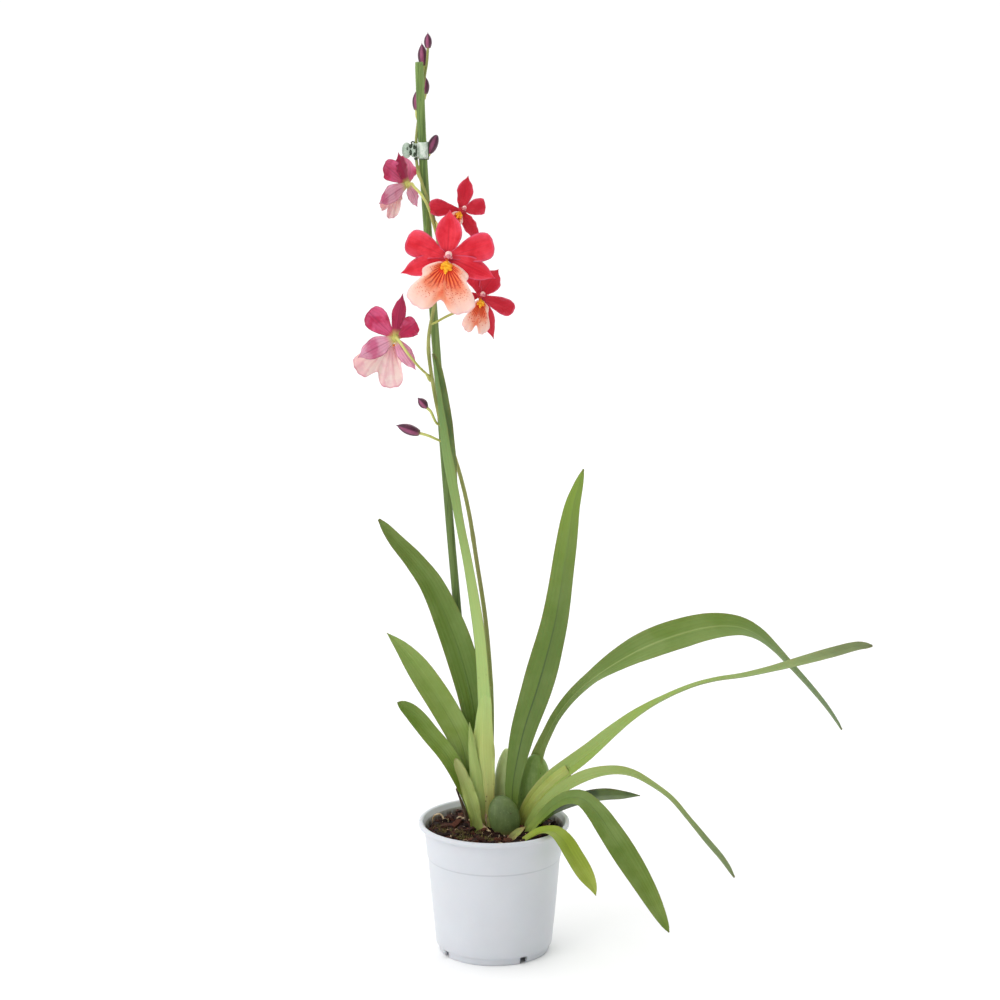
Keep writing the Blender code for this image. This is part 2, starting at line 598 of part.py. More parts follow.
# Flowers: heart, way that it faces, and its parts by angle round the face and length.
# Angles run from straight up, clockwise as someone facing the flower sees them. A sepal
# or petal is its angle, length, width and how far its tip leans to the front.
FLOWERS = {
    "flower_top_left": dict(
        heart=(-66.0, 14.0, 608.2), face=(-0.62, 0.75, -0.12), lip=(146, 21, 28),
        sepals=((8, 25, 12, -0.1), (111, 34, 13, -0.12), (-146, 22, 12, 0.3)),
        petals=((51, 26, 17, 0.0), (-36, 21, 15, 0.5)),
        pedicel=((-43.4, -1.6, 571), (-46.4, -7.2, 583), (-49.6, -9.0, 594), (-54.6, -7, 603),
                 (-60.0, 0.6, 607.6)),
    ),
    "flower_top_right": dict(
        heart=(-25.0, -2.0, 590.4), face=(0.35, -0.9, 0.25), lip=(-138, 23, 22),
        sepals=((20, 28, 13, -0.06), (150, 27, 11, -0.1), (-128, 20, 11, -0.06)),
        petals=((-80, 24, 15, -0.06), (82, 20, 13, -0.06)),
        pedicel=((-42.2, 0.0, 558), (-38.6, 3.4, 572), (-32.4, 3.8, 584)),
    ),
    "flower_main": dict(
        heart=(-34.5, -46.0, 562.0), face=(0.08, -0.98, 0.12), lip=(-170, 38, 50),
        sepals=((4, 35, 20, -0.06), (115, 40, 16, -0.1), (-109, 37, 15, -0.1)),
        petals=((-66, 33, 22, -0.04), (75, 36, 23, -0.04)),
        pedicel=((-42.6, -0.6, 543), (-41.4, -14, 547), (-38.4, -28, 553)),
    ),
    "flower_right": dict(
        heart=(-10.4, 0.0, 524.8), face=(0.3, -0.93, 0.1), lip=(-166, 26, 21),
        sepals=((44, 25, 13, -0.06), (162, 36, 11, -0.1), (-95, 29, 11, -0.1)),
        petals=((116, 30, 14, -0.04), (-18, 27, 16, -0.04)),
        pedicel=((-47.6, -2.2, 503), (-43.3, -5.2, 505.5), (-36.4, -2.4, 509), (-27, 2.4, 512.6),
                 (-17.5, 6.6, 518.6)),
    ),
    "flower_lower_left": dict(
        heart=(-75.8, 12.0, 489.7), face=(-0.3, 0.92, -0.1), lip=(150, 34, 42),
        sepals=((-10, 35, 15, -0.12), (112, 34, 14, -0.12), (-150, 29, 12, -0.1)),
        petals=((44, 30, 20, -0.04), (-58, 21, 17, 0.1)),
        pedicel=((-47.6, 0.0, 461), (-50.6, -2.0, 463.6), (-58, -3.4, 471), (-66, -1.6, 480.6)),
    ),
}
HUB_RADIUS = 2.6
HUB_SET_BACK = 0.6
LIP_OUTLINE = ((0, 0.68), (12, 0.95), (26, 1.0), (40, 0.92), (50, 0.66), (60, 0.6), (74, 0.5),
               (96, 0.16))


def flower_axes(face):
    """Right, up and front of a flower, as someone facing it sees them."""
    front = Vector(face).normalized()
    up = (Vector((0, 0, 1)) - front * front.z).normalized()
    return up.cross(front), up, front


def lip_reach(angle):
    """Share of the lip's length at an angle from its middle, on a smooth outline."""
    angle = abs(angle)
    for (a, low), (b, high) in zip(LIP_OUTLINE, LIP_OUTLINE[1:]):
        if angle <= b:
            share = (angle - a) / (b - a)
            return low + (high - low) * (1 - math.cos(math.pi * share)) / 2
    return LIP_OUTLINE[-1][1]


def make_tepals(name, flower):
    """Three sepals and two petals, fused at the heart of the flower."""
    right, up, front = flower_axes(flower["face"])
    heart = Vector(flower["heart"])
    pieces = []
    for petal, group in ((False, flower["sepals"]), (True, flower["petals"])):
        for angle, length, width, lean in group:
            turn = math.radians(angle)
            out = up * math.cos(turn) + right * math.sin(turn)
            set_back = front * (0.15 if petal else -0.75)
            bow = front * (length * lean)
            route = (
                heart + set_back + out * 0.4,
                heart + set_back + out * (length * 0.5) + bow * 0.2,
                heart + set_back + out * length + bow,
            )
            shape = blade(
                route, width, (front, front), 5, 4 if petal else 2, fold=-0.1 if petal else 0.14,
                base=0.28, widest=0.6 if petal else 0.52, tip=1.9 if petal else 1.5,
                blunt=0.62 if petal else 0.8, crowd=1.6, ripple=1.2 if petal else 0.5,
                waves=3, thickness=PETAL_THICKNESS,
            )
            pieces.append(finish("tepal", shape))
    hub = finish(name + "_tepals", ellipsoid(heart - front * HUB_SET_BACK, (HUB_RADIUS,) * 3, 6, 8), "red")
    return combine(hub, pieces, "UNION")


def make_lip(name, flower):
    """A broad ruffled lip, notched at its end, with a lumpy crest at its throat."""
    right, up, front = flower_axes(flower["face"])
    angle, length, width = flower["lip"]
    turn = math.radians(angle)
    down = up * math.cos(turn) + right * math.sin(turn)
    side = down.cross(front)
    throat = Vector(flower["heart"]) + front * 3.2 + down * (2.2 + length * 0.07)
    spread = width / 2 / (length * 0.6)
    shape = bmesh.new()
    bmesh.ops.create_grid(shape, x_segments=14, y_segments=4, size=1.0)
    for vert in shape.verts:
        bearing = vert.co.x * LIP_OUTLINE[-1][0]
        share = 0.05 + 0.95 * (vert.co.y + 1) / 2
        reach = length * lip_reach(bearing) * share
        ruffle = 0.045 * length * share ** 3 * math.sin(math.radians(bearing) * 5.5 + 0.6)
        bulge = 0.10 * length * math.sin(math.pi * 0.8 * share)
        along = reach * math.cos(math.radians(bearing))
        across = reach * math.sin(math.radians(bearing)) * spread
        vert.co = throat + down * along + side * across + front * (bulge + ruffle)
    bmesh.ops.triangulate(shape, faces=shape.faces)
    bmesh.ops.solidify(shape, geom=shape.faces[:], thickness=PETAL_THICKNESS)
    lip = finish(name + "_lip", shape, "lip")
    lumps = []
    for across, along, size in ((-2.0, 1.8, 2.5), (2.0, 1.8, 2.5), (0.0, 6.4, 2.6)):
        place = throat + (side * across + down * along) * (length / 40) + front * (
            (2.4 + 0.3 * along) * length / 40)
        lump = bmesh.new()
        bmesh.ops.create_icosphere(lump, subdivisions=1, radius=size * length / 40)
        bmesh.ops.translate(lump, vec=place, verts=lump.verts)
        lumps.append(finish("crest", lump))
    outward = (front * 0.66 + down * 0.75).normalized()
    seat = Vector(flower["heart"]) - front * HUB_SET_BACK + outward * (HUB_RADIUS + GAP)
    claw = tube((seat, seat.lerp(throat + down, 0.5), throat + down * 1.6), lambda s: 1.1, 3, 6)
    return combine(lip, [*lumps, finish("claw", claw)], "UNION")


def make_column(name, flower):
    """The column: a short blunt horn that stands out of the heart above the lip."""
    right, up, front = flower_axes(flower["face"])
    angle, length, width = flower["lip"]
    turn = math.radians(angle)
    down = up * math.cos(turn) + right * math.sin(turn)
    heart = Vector(flower["heart"])
    scale = length / 40
    foot = heart - down * 1.3 + front * (HUB_RADIUS + GAP - 0.4)
    route = (foot, foot + front * 4 * scale - down * 0.8 * scale,
             foot + front * 8.5 * scale + down * 0.4 * scale)

    def girth(share):
        return scale * (1.9 + 1.3 * math.sin(math.pi * min(share * 1.1, 1) ** 1.7) ** 2)

    return finish(name + "_column", tube(route, girth, 6, 8), "column")


def pedicel_of(flower):
    """The flower's own stalk, from the stem to just behind its heart."""
    front = Vector(flower["face"]).normalized()
    end = Vector(flower["heart"]) - front * (HUB_RADIUS + HUB_SET_BACK + 0.4 + GAP)
    return [*flower["pedicel"], end - front * 3.0, end]


# Dry stub: the brown remains of an old sheath
STUB_ROUTE = ((-20.0, 10.5, 93.0), (-21.6, 10.0, 104.0), (-25.4, 8.6, 117.0),
              (-30.0, 6.6, 130.0))


def assemble():
    """Gives each piece its origin at its own middle and parents it to one empty."""
    pieces = list(bpy.data.objects)
    plant = bpy.data.objects.new("orchid_in_pot", None)
    bpy.context.scene.collection.objects.link(plant)
    for piece in pieces:
        corners = [Vector(corner) for corner in piece.bound_box]
        middle = (corners[0] + corners[6]) / 2
        piece.data.transform(Matrix.Translation(-middle))
        piece.location = middle
        piece.parent = plant


def build():
    clear_scene()
    make_pot()
    stake = finish("stake", tube(STAKE_ROUTE, lambda s: STAKE_RADIUS, 12, 10), "stake")
    stem = make_stem([pedicel_of(flower) for flower in FLOWERS.values()])
    make_clip(stake, stem)
    standing = [stake, stem]
    for name, (centre, radii, lean) in BULBS.items():
        standing.append(finish(name, ellipsoid(centre, radii, 8, 12, lean), "bulb"))
    bulb_right = standing[-2]
    for name in LEAVES:
        leaf = make_leaf(name)
        if name == "leaf_arching":
            combine(leaf, [fattened(bulb_right, GAP)], "DIFFERENCE")
        else:
            standing.append(leaf)
    stub = tube(STUB_ROUTE, lambda s: 1.9 - 1.2 * s, 8, 7)
    standing.append(finish("dry_sheath_stub", stub, "dry"))
    make_substrate(standing)
    for name, (base, tip, radius) in BUDS.items():
        make_bud(name, base, tip, radius)
    for name, flower in FLOWERS.items():
        make_tepals(name, flower)
        make_lip(name, flower)
        make_column(name, flower)
    assemble()


build()
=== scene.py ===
import math
import random

import bmesh
import bpy
from mathutils import Matrix, Vector
from mathutils.noise import noise as drift


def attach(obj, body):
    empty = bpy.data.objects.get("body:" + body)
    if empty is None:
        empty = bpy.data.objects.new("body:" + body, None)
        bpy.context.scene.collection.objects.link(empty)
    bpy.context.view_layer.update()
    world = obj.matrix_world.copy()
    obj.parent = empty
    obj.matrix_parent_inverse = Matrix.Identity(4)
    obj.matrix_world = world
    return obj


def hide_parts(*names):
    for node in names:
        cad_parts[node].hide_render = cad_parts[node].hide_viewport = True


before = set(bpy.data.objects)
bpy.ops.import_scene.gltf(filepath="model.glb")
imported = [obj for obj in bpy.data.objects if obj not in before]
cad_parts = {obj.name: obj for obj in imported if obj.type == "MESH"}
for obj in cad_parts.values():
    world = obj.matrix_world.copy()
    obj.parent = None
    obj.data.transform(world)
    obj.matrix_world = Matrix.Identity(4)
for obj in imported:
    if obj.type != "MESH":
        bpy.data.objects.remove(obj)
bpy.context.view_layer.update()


# Nursery pot. A round pot of thin pale plastic with a rolled rim, a faint step ring and a
# foot that is notched four times so that water can leave. It is injection moulded in one
# piece, and everything else stands in it.
MM = 0.001
POT_TURNS = 128
POT_PROFILE = (
    (0.0, 3.5), (30.0, 3.5), (38.9, 3.5), (39.7, 2.6), (40.0, 0.6), (40.6, 0.0), (42.9, 0.0),
    (43.4, 0.3), (43.7, 1.0), (44.3, 5.1), (44.7, 5.7), (45.6, 6.0), (45.95, 6.5),
    (46.5, 12.0), (49.2, 40.0), (52.2, 76.8), (52.35, 77.5), (52.75, 78.0), (52.95, 78.5),
    (54.0, 90.0), (55.1, 100.6), (55.5, 101.3), (56.6, 101.8), (58.3, 101.95),
    (59.1, 102.3), (59.5, 103.1), (59.55, 104.3), (59.3, 105.2), (58.7, 105.8),
    (57.8, 106.0), (57.0, 105.85), (56.3, 105.4), (56.0, 104.8), (55.0, 102.6),
    (54.1, 100.9), (53.6, 98.0), (44.4, 8.0), (43.8, 5.6), (42.6, 4.9), (30.0, 4.8),
    (0.0, 4.8),
)
NOTCHES = (-58.0, 32.0, 122.0, 212.0)
NOTCH_SIZE = (12.0, 6.2, 9.0)
NOTCH_PLACE = (43.4, 0.0, 0.9)
DRAIN_RADIUS = 3.6
DRAIN_PLACE = (26.0, 0.0, 3.5)
DRAIN_TURN = 0.8
DRAIN_DEPTH = 12.0


def hue(code):
    """A colour for a shader, from its six-digit code."""
    parts = [int(code[k:k + 2], 16) / 255 for k in (0, 2, 4)]
    return tuple(p / 12.92 if p < 0.04 else ((p + 0.055) / 1.055) ** 2.4 for p in parts)


class Wire:
    """A socket in a finish. Sums that are written on it become its Math nodes."""

    def __init__(self, socket):
        self.socket = socket

    def node(self, kind, sockets=None, out=0, stops=(), **settings):
        """Any other node: its settings first, then a value or a wire for each socket."""
        tree = self.socket.id_data
        made = tree.nodes.new(kind)
        for name, value in settings.items():
            setattr(made, name, value)
        for k, (spot, tint) in enumerate(stops):
            ramp = made.color_ramp.elements
            if k == 0:
                ramp.remove(ramp[1])
                ramp[0].position = spot
            stop = ramp.new(spot) if k else ramp[0]
            stop.color = (*hue(tint), 1.0)
        for key, value in (sockets or {}).items():
            if isinstance(value, Wire):
                tree.links.new(value.socket, made.inputs[key])
            elif made.inputs[key].type == "RGBA":
                made.inputs[key].default_value = (*hue(value), 1.0)
            else:
                made.inputs[key].default_value = value
        return Wire(made.outputs[out])

    def _sum(self, operation, *terms):
        return self.node("ShaderNodeMath", dict(enumerate(terms)), operation=operation)

    def __add__(self, other):
        return self._sum("ADD", self, other)

    __radd__ = __add__

    def __sub__(self, other):
        return self._sum("SUBTRACT", self, other)

    def __rsub__(self, other):
        return self._sum("SUBTRACT", other, self)

    def __mul__(self, other):
        return self._sum("MULTIPLY", self, other)

    __rmul__ = __mul__

    def __truediv__(self, other):
        return self._sum("DIVIDE", self, other)

    def __pow__(self, other):
        return self._sum("POWER", self, other)

    def __abs__(self):
        return self._sum("ABSOLUTE", self)

    def sine(self):
        return self._sum("SINE", self)

    def rise(self, low, high):
        """0 up to low and 1 past high, with a smooth rise between. It falls if high is less."""
        return self.node("ShaderNodeMapRange", {0: self, 1: low, 2: high},
                         interpolation_type="SMOOTHSTEP")

    def blend(self, under, over):
        """A colour: under where this is 0, over where it is 1."""
        return self.node("ShaderNodeMix", {0: self, 6: under, 7: over}, out=2,
                         data_type="RGBA")

    def coats(self, *layers):
        """This colour with others laid over it in turn, each where its own wire is 1."""
        tone = self
        for cover, tint in layers:
            tone = cover.blend(tone, tint)
        return tone

    def lit(self, amount):
        """This colour, made lighter or darker by an amount."""
        return self.node("ShaderNodeVectorMath", {0: self, "Scale": amount},
                         operation="SCALE")

    def mark(self, name="lay"):
        """What each point of the shape is marked with, such as its place along a leaf."""
        return self.node("ShaderNodeAttribute", out="Vector", attribute_name=name)

    def parts(self):
        """The three numbers of a place."""
        apart = self.node("ShaderNodeSeparateXYZ", {0: self}).socket.node
        return [Wire(socket) for socket in apart.outputs]

    def grain(self, size, detail=3.0, stretch=(1, 1, 1), rough=0.55):
        """Cloudy noise whose clouds are about size millimetres across."""
        place = self.node("ShaderNodeMapping", {"Vector": self, "Scale": stretch})
        return self.node("ShaderNodeTexNoise", {
            "Vector": place, "Scale": 1 / (size * MM), "Detail": detail, "Roughness": rough})

    def dots(self, size, small, large, stretch=(1, 1, 1)):
        """Scattered dots, one in each cell of about size millimetres."""
        place = self.node("ShaderNodeMapping", {"Vector": self, "Scale": stretch})
        return self.node("ShaderNodeTexVoronoi", {
            "Vector": place, "Scale": 1 / (size * MM)}).rise(large, small)


def new_finish(name, **constants):
    """A material and the place of each of its points, from which its look is worked out."""
    made = bpy.data.materials.new(name)
    made.use_nodes = True
    shader = made.node_tree.nodes["Principled BSDF"]
    for socket, value in constants.items():
        shader.inputs[socket.replace("_", " ")].default_value = value
    return made, Wire(shader.outputs[0]).node("ShaderNodeTexCoord", out="Object")


def feed(finish, colour, roughness, height=None, depth=0.1):
    """Wires a colour, a roughness and a relief of depth millimetres to a finish."""
    tree = finish.node_tree
    wires = {"Base Color": colour, "Roughness": roughness}
    if height:
        wires["Normal"] = height.node(
            "ShaderNodeBump", {"Height": height, "Distance": depth * MM, "Strength": 1.0})
    for socket, wire in wires.items():
        tree.links.new(wire.socket, tree.nodes["Principled BSDF"].inputs[socket])


def make_piece(name, shape, *finishes, sharp=50):
    """Turns a shape in millimetres into a piece in metres."""
    bmesh.ops.scale(shape, vec=(MM, MM, MM), verts=shape.verts)
    mesh = bpy.data.meshes.new(name)
    shape.to_mesh(mesh)
    shape.free()
    mesh.shade_smooth()
    mesh.set_sharp_from_angle(angle=math.radians(sharp))
    for finish in finishes:
        mesh.materials.append(finish)
    piece = bpy.data.objects.new(name, mesh)
    bpy.context.scene.collection.objects.link(piece)
    return piece


def turned(profile, turns):
    """A closed body of revolution about the upright axis."""
    shape = bmesh.new()
    ring = [shape.verts.new((r, 0.0, z)) for r, z in profile]
    edges = [shape.edges.new(pair) for pair in zip(ring, ring[1:])]
    bmesh.ops.spin(shape, geom=ring + edges, cent=(0, 0, 0), axis=(0, 0, 1),
                   angle=2 * math.pi, steps=turns, use_merge=True)
    bmesh.ops.remove_doubles(shape, verts=shape.verts, dist=0.001)
    bmesh.ops.recalc_face_normals(shape, faces=shape.faces)
    return shape


pot_plastic, place = new_finish("pot_plastic", Specular_IOR_Level=0.45,
                                Subsurface_Weight=0.08, Subsurface_Scale=0.003)
x, y, z = place.parts()
z = z / MM
out = (x * x + y * y) ** 0.5 / MM
inside = (out - 0.1022 * z).rise(44.2, 43.9) * z.rise(7.0, 9.0)
cloud = place.grain(34, 3)
smear = place.grain(5, 4, (1, 1, 0.5))
soil_line = inside * z.rise(102.5, 98.0) * smear.rise(0.3, 0.62)
# A darker line where the wall steps out, painted shade on the step's downward face.
step_ring_shade = z.rise(76.4, 77.3) * z.rise(78.4, 77.7)
scuff = z.rise(2.5, 0.0) * smear.rise(0.45, 0.7)
seam = abs(y / MM + 0.6).rise(0.7, 0.1) * (x / MM).rise(-50, -53) * z.rise(100.5, 101.5)
# The greyer inner wall is painted shade inside the pot; the soil line, the scuffs on the foot
# and the mould seam are real marks.
tone = cloud.blend("c6c9cf", "d2d5da").coats(
    (inside, "a9aaa8"), (soil_line * 0.85, "5d4a3c"), (step_ring_shade * 0.4, "9da3ab"),
    (scuff * 0.2, "9d9890"), (seam * 0.5, "77797c"))
feed(pot_plastic, tone, 0.34 + cloud * 0.16, place.grain(0.5, 2) + smear * 0.6, 0.035)

cutters = bmesh.new()
for turn in NOTCHES:
    angle = math.radians(turn - 90.0)
    notch = bmesh.ops.create_cube(cutters, size=1.0)["verts"]
    bmesh.ops.scale(cutters, vec=NOTCH_SIZE, verts=notch)
    drain = bmesh.ops.create_cone(cutters, cap_ends=True, segments=28, radius1=DRAIN_RADIUS,
                                  radius2=DRAIN_RADIUS, depth=DRAIN_DEPTH)["verts"]
    for lot, spot, round_by in ((notch, NOTCH_PLACE, angle),
                                (drain, DRAIN_PLACE, angle + DRAIN_TURN)):
        bmesh.ops.translate(cutters, vec=spot, verts=lot)
        bmesh.ops.rotate(cutters, verts=lot, matrix=Matrix.Rotation(round_by, 3, "Z"))
cutters = make_piece("notches", cutters)
pot = make_piece("nursery_pot", turned(POT_PROFILE, POT_TURNS), pot_plastic, sharp=40)
cut = pot.modifiers.new("notches", "BOOLEAN")
cut.operation = "DIFFERENCE"
cut.object = cutters
notched = bpy.data.meshes.new_from_object(
    pot.evaluated_get(bpy.context.evaluated_depsgraph_get()))
pot.modifiers.clear()
pot.data = notched
bpy.data.objects.remove(cutters)
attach(pot, "root")
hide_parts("pot")


# Potting bark. Chips of pine bark, from dust to pieces as long as a thumbnail, poured round
# the roots and shaken down, a few millimetres under the rim. One body carries the loose
# chips that lie on it.
SOIL_HEIGHT = 97.5
SOIL_EDGE = 52.1
SOIL_RINGS = 46
HUMP_COUNT = 64
HUMP_REACH = 52
HUMP_SLOPE = 0.28
HUMP_LIFT = 2.6
CHIP_COUNT = 520
CHIP_LENGTHS = (3.2, 3.8, 4.6, 5.6, 7.0, 9.5)

chance = random.Random(7)
humps = []
while len(humps) < HUMP_COUNT:
    x, y = [chance.uniform(-HUMP_REACH, HUMP_REACH) for _ in "xy"]
    if math.hypot(x, y) < HUMP_REACH:
        slopes = [chance.uniform(-HUMP_SLOPE, HUMP_SLOPE) for _ in "xy"]
        humps.append((x, y, *slopes, chance.uniform(0.0, HUMP_LIFT)))


def soil_height(x, y):
    """The height of the bark's top at a place, with its humps."""
    near_x, near_y, slope_x, slope_y, lift = min(
        humps, key=lambda hump: (hump[0] - x) ** 2 + (hump[1] - y) ** 2)
    lift = lift + slope_x * (x - near_x) + slope_y * (y - near_y)
    fine = 0.9 * drift(Vector((x, y, 0)) * 0.35) + 0.5 * drift(Vector((x, y, 9)) * 0.9)
    edge = min(1.0, max(SOIL_EDGE - math.hypot(x, y), 0.0) / 8)
    return SOIL_HEIGHT + (lift + fine) * edge


def bark_finish(name, dusty):
    """Bark from near black to straw, by the tone that each chip is marked with."""
    finish, place = new_finish(name, Specular_IOR_Level=0.25)
    own, _, _ = place.mark("chip").parts()
    streak = place.grain(2.2, 4, (1, 1, 2.5))
    crumb = place.grain(0.7, 3)
    tone = place.node("ShaderNodeValToRGB", {0: own * 0.8 + streak * 0.55 - 0.16}, stops=(
        (0.0, "140b09"), (0.3, "281510"), (0.52, "402219"),
        (0.72, "5d3427"), (0.88, "7d4f3a"), (1.0, "a58467")))
    tone = (crumb.rise(0.6, 0.75) * dusty).blend(tone, "77604a")
    feed(finish, tone, 0.72 + crumb * 0.25, streak + crumb * 0.7, 0.5)
    return finish


def new_shape(mark="lay"):
    """An empty shape, and the layer for what its points are marked with."""
    shape = bmesh.new()
    return shape, shape.verts.layers.float_vector.new(mark)


bark = bark_finish("potting_bark", 0.35)
profile = [(SOIL_EDGE * k / SOIL_RINGS, SOIL_HEIGHT) for k in range(SOIL_RINGS + 1)]
profile += [(43.4, 8.2), (42.0, 5.1), (0.0, 5.1)]
soil = turned(profile, 110)
own = soil.verts.layers.float_vector.new("chip")
for vert in soil.verts:
    if vert.co.z > SOIL_HEIGHT - 1:
        vert.co.z = soil_height(vert.co.x, vert.co.y)
    vert[own] = (0.18 + 0.3 * drift(vert.co * 0.25), 0.0, 0.0)
soil = make_piece("bark_fill", soil, bark, sharp=70)
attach(soil, "root")
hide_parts("substrate")

chip = bmesh.new()
bmesh.ops.create_cube(chip, size=1.0)
bmesh.ops.subdivide_edges(chip, edges=chip.edges[:], cuts=1, use_grid_fill=True)
bmesh.ops.smooth_vert(chip, verts=chip.verts, factor=0.35, use_axis_x=True,
                      use_axis_y=True, use_axis_z=True)
chip_mesh = bpy.data.meshes.new("chip")
chip.to_mesh(chip_mesh)
chip.free()

chips, own = new_shape("chip")
chance = random.Random(23)
for count in range(CHIP_COUNT):
    length = chance.choice(CHIP_LENGTHS) * chance.uniform(0.85, 1.2)
    reach = (SOIL_EDGE + 1.2 - length * 0.55) * math.sqrt(chance.random())
    turn = chance.uniform(0, 2 * math.pi)
    x, y = reach * math.cos(turn), reach * math.sin(turn)
    start = len(chips.verts)
    chips.from_mesh(chip_mesh)
    chips.verts.ensure_lookup_table()
    lot = chips.verts[start:]
    tone = chance.betavariate(1.6, 2.6)
    for vert in lot:
        vert.co += Vector([chance.uniform(-0.13, 0.13) for _ in "xyz"])
        vert[own] = (tone, chance.random() * 0.1, 0.0)
    bmesh.ops.scale(chips, vec=(length, length * chance.uniform(0.45, 0.8),
                                length * chance.uniform(0.22, 0.4)), verts=lot)
    for axis, most in (("X", 0.5), ("Y", 0.5), ("Z", 3.2)):
        bmesh.ops.rotate(chips, verts=lot, matrix=Matrix.Rotation(
            chance.uniform(-most, most), 3, axis))
    rest = soil_height(x, y) + length * 0.05 + chance.uniform(0.0, 1.0)
    bmesh.ops.translate(chips, vec=(x, y, rest), verts=lot)
bmesh.ops.recalc_face_normals(chips, faces=chips.faces)
chips = make_piece("bark_chips", chips, bark_finish("chip_bark", 0.2), sharp=32)
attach(chips, "root")


# Moss, rootlets and fibres. A mossy, threadlike growth has crept over the bark at the front
# left, old pale rootlets loop out of the bark beside the stems, and dry fibres of old
# sheaths lie among them. They have grown there or been left there.
MOSS_PATCHES = ((-36, -14, 9.5), (-25, -24, 8.5), (-43, 0, 6.0), (-12, -12, 6.5),
                (-6, -31, 7.0))
MOSS_DENSITY = 2.1
FIBRE_COUNT = 70
FIBRE_REACH = 46
FIBRE_RADIUS = 0.16
ROOTLETS = (
    (((-49.0, 19, 97.0), (-48.4, 19, 101.2), (-46.6, 19, 103.6), (-44.0, 19, 104.4),
      (-41.6, 19, 103.4), (-40.2, 18, 101.0), (-40.0, 17, 98.0)), 0.62),
    (((-30.6, 17, 99.5), (-29.0, 16, 102.2), (-27.0, 15.6, 103.4), (-24.6, 16, 102.0),
      (-22.2, 15.4, 103.2), (-19.0, 16, 101.6), (-17.0, 16, 99.0)), 0.5),
    (((-21.5, 10, 100.4), (-19.8, 9.6, 102.8), (-18.0, 9.2, 102.4), (-15.8, 9.0, 103.0),
      (-12.6, 8.6, 101.2), (-9.4, 8.4, 100.8), (-7.0, 8, 98.8)), 0.72),
    (((-18.2, -2.4, 124.5), (-16.8, -2.6, 121.6), (-14.8, -3.2, 117.6),
      (-12.8, -3.6, 112.8), (-11.4, -4.2, 107.8), (-10.8, -5.0, 102.0)), 0.42),
    (((40.0, -8, 98.5), (42.5, -4, 101.5), (44.0, 2, 102.0), (43.0, 8, 99.0)), 0.45),
    (((-6.0, -40, 97.6), (-1.0, -41, 100.4), (5.0, -40.5, 100.6), (9.0, -38, 98.4)), 0.4),
)


def follow(pairs, at):
    """The value at a place, on a smooth curve through the given places and values."""
    k = min(sum(at > place for place, _ in pairs[1:]), len(pairs) - 2)

    def slope(j):
        low, high = max(j - 1, 0), min(j + 1, len(pairs) - 1)
        return (pairs[high][1] - pairs[low][1]) / (pairs[high][0] - pairs[low][0])

    (a, low), (b, high) = pairs[k], pairs[k + 1]
    t = (at - a) / (b - a)
    return (low * ((1 + 2 * t) * (1 - t) ** 2) + slope(k) * (t * (1 - t) ** 2 * (b - a))
            + high * (t * t * (3 - 2 * t)) + slope(k + 1) * (t * t * (t - 1) * (b - a)))


def distances(points):
    """How far each point lies along the line through them."""
    reach = [0.0]
    for a, b in zip(points, points[1:]):
        reach.append(reach[-1] + (b - a).length)
    return reach


def smooth_route(points, count, steps=12):
    """Evenly spaced points on a smooth curve through the given ones."""
    knots = [Vector(point) for point in points]
    times = distances(knots)
    pairs = list(zip(times, knots))
    fine = [follow(pairs, a + (b - a) * step / steps)
            for a, b in zip(times, times[1:]) for step in range(steps)]
    fine.append(knots[-1])
    reach = distances(fine)
    even, k = [], 0
    for step in range(count):
        want = reach[-1] * step / (count - 1)
        while k < len(fine) - 2 and reach[k + 1] < want:
            k += 1
        even.append(fine[k].lerp(fine[k + 1], (want - reach[k]) / (reach[k + 1] - reach[k])))
    return even


def directions(points):
    """The way that a route runs at each of its points."""
    last = len(points) - 1
    return [(points[min(k + 1, last)] - points[max(k - 1, 0)]).normalized()
            for k in range(last + 1)]


def tube(route, radius, rings, sides):
    """A closed tube along a route. Its layer lay holds the share round it and along it.

    radius is a number, or a function of the share along it and the turn round it.
    """
    points = smooth_route(route, rings + 1)
    ways = directions(points)
    across = [ways[0].cross(Vector((0, -1, 0.01))).normalized()]
    for way in ways[1:]:
        across.append((across[-1] - way * across[-1].dot(way)).normalized())
    own, lay = new_shape()
    bmesh.ops.create_grid(own, x_segments=sides, y_segments=rings, size=1.0)
    for vert in own.verts:
        around, s = vert.co.x, (vert.co.y + 1) / 2
        k = round(s * rings)
        turn = math.pi * around
        lift = ways[k].cross(across[k])
        vert.co = points[k] + (across[k] * math.cos(turn) + lift * math.sin(turn)) * (
            radius(s, turn) if callable(radius) else radius)
        vert[lay] = (around, s, 1.0)
    bmesh.ops.remove_doubles(own, verts=own.verts, dist=0.0005)
    bmesh.ops.holes_fill(own, edges=[e for e in own.edges if e.is_boundary])
    bmesh.ops.recalc_face_normals(own, faces=own.faces)
    return own


def joined(shape, more, look=0):
    """Adds one shape to another, in the look's material slot."""
    for face in more.faces:
        face.material_index = look
    spare = bpy.data.meshes.new("spare")
    more.to_mesh(spare)
    more.free()
    shape.from_mesh(spare)
    bpy.data.meshes.remove(spare)


root_skin, place = new_finish("rootlet_skin", Specular_IOR_Level=0.3)
fleck = place.grain(1.6, 3)
feed(root_skin, fleck.rise(0.35, 0.7).blend("d9c6a6", "a5835c"),
     0.6 + fleck * 0.2, place.grain(0.5, 2), 0.15)
roots, _ = new_shape()
for route, thick in ROOTLETS:
    joined(roots, tube(route, lambda s, turn: thick * (
        0.5 + 0.8 * math.sin(math.pi * (0.1 + 0.8 * s))), 26, 8))
roots = make_piece("rootlets", roots, root_skin)
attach(roots, "root")

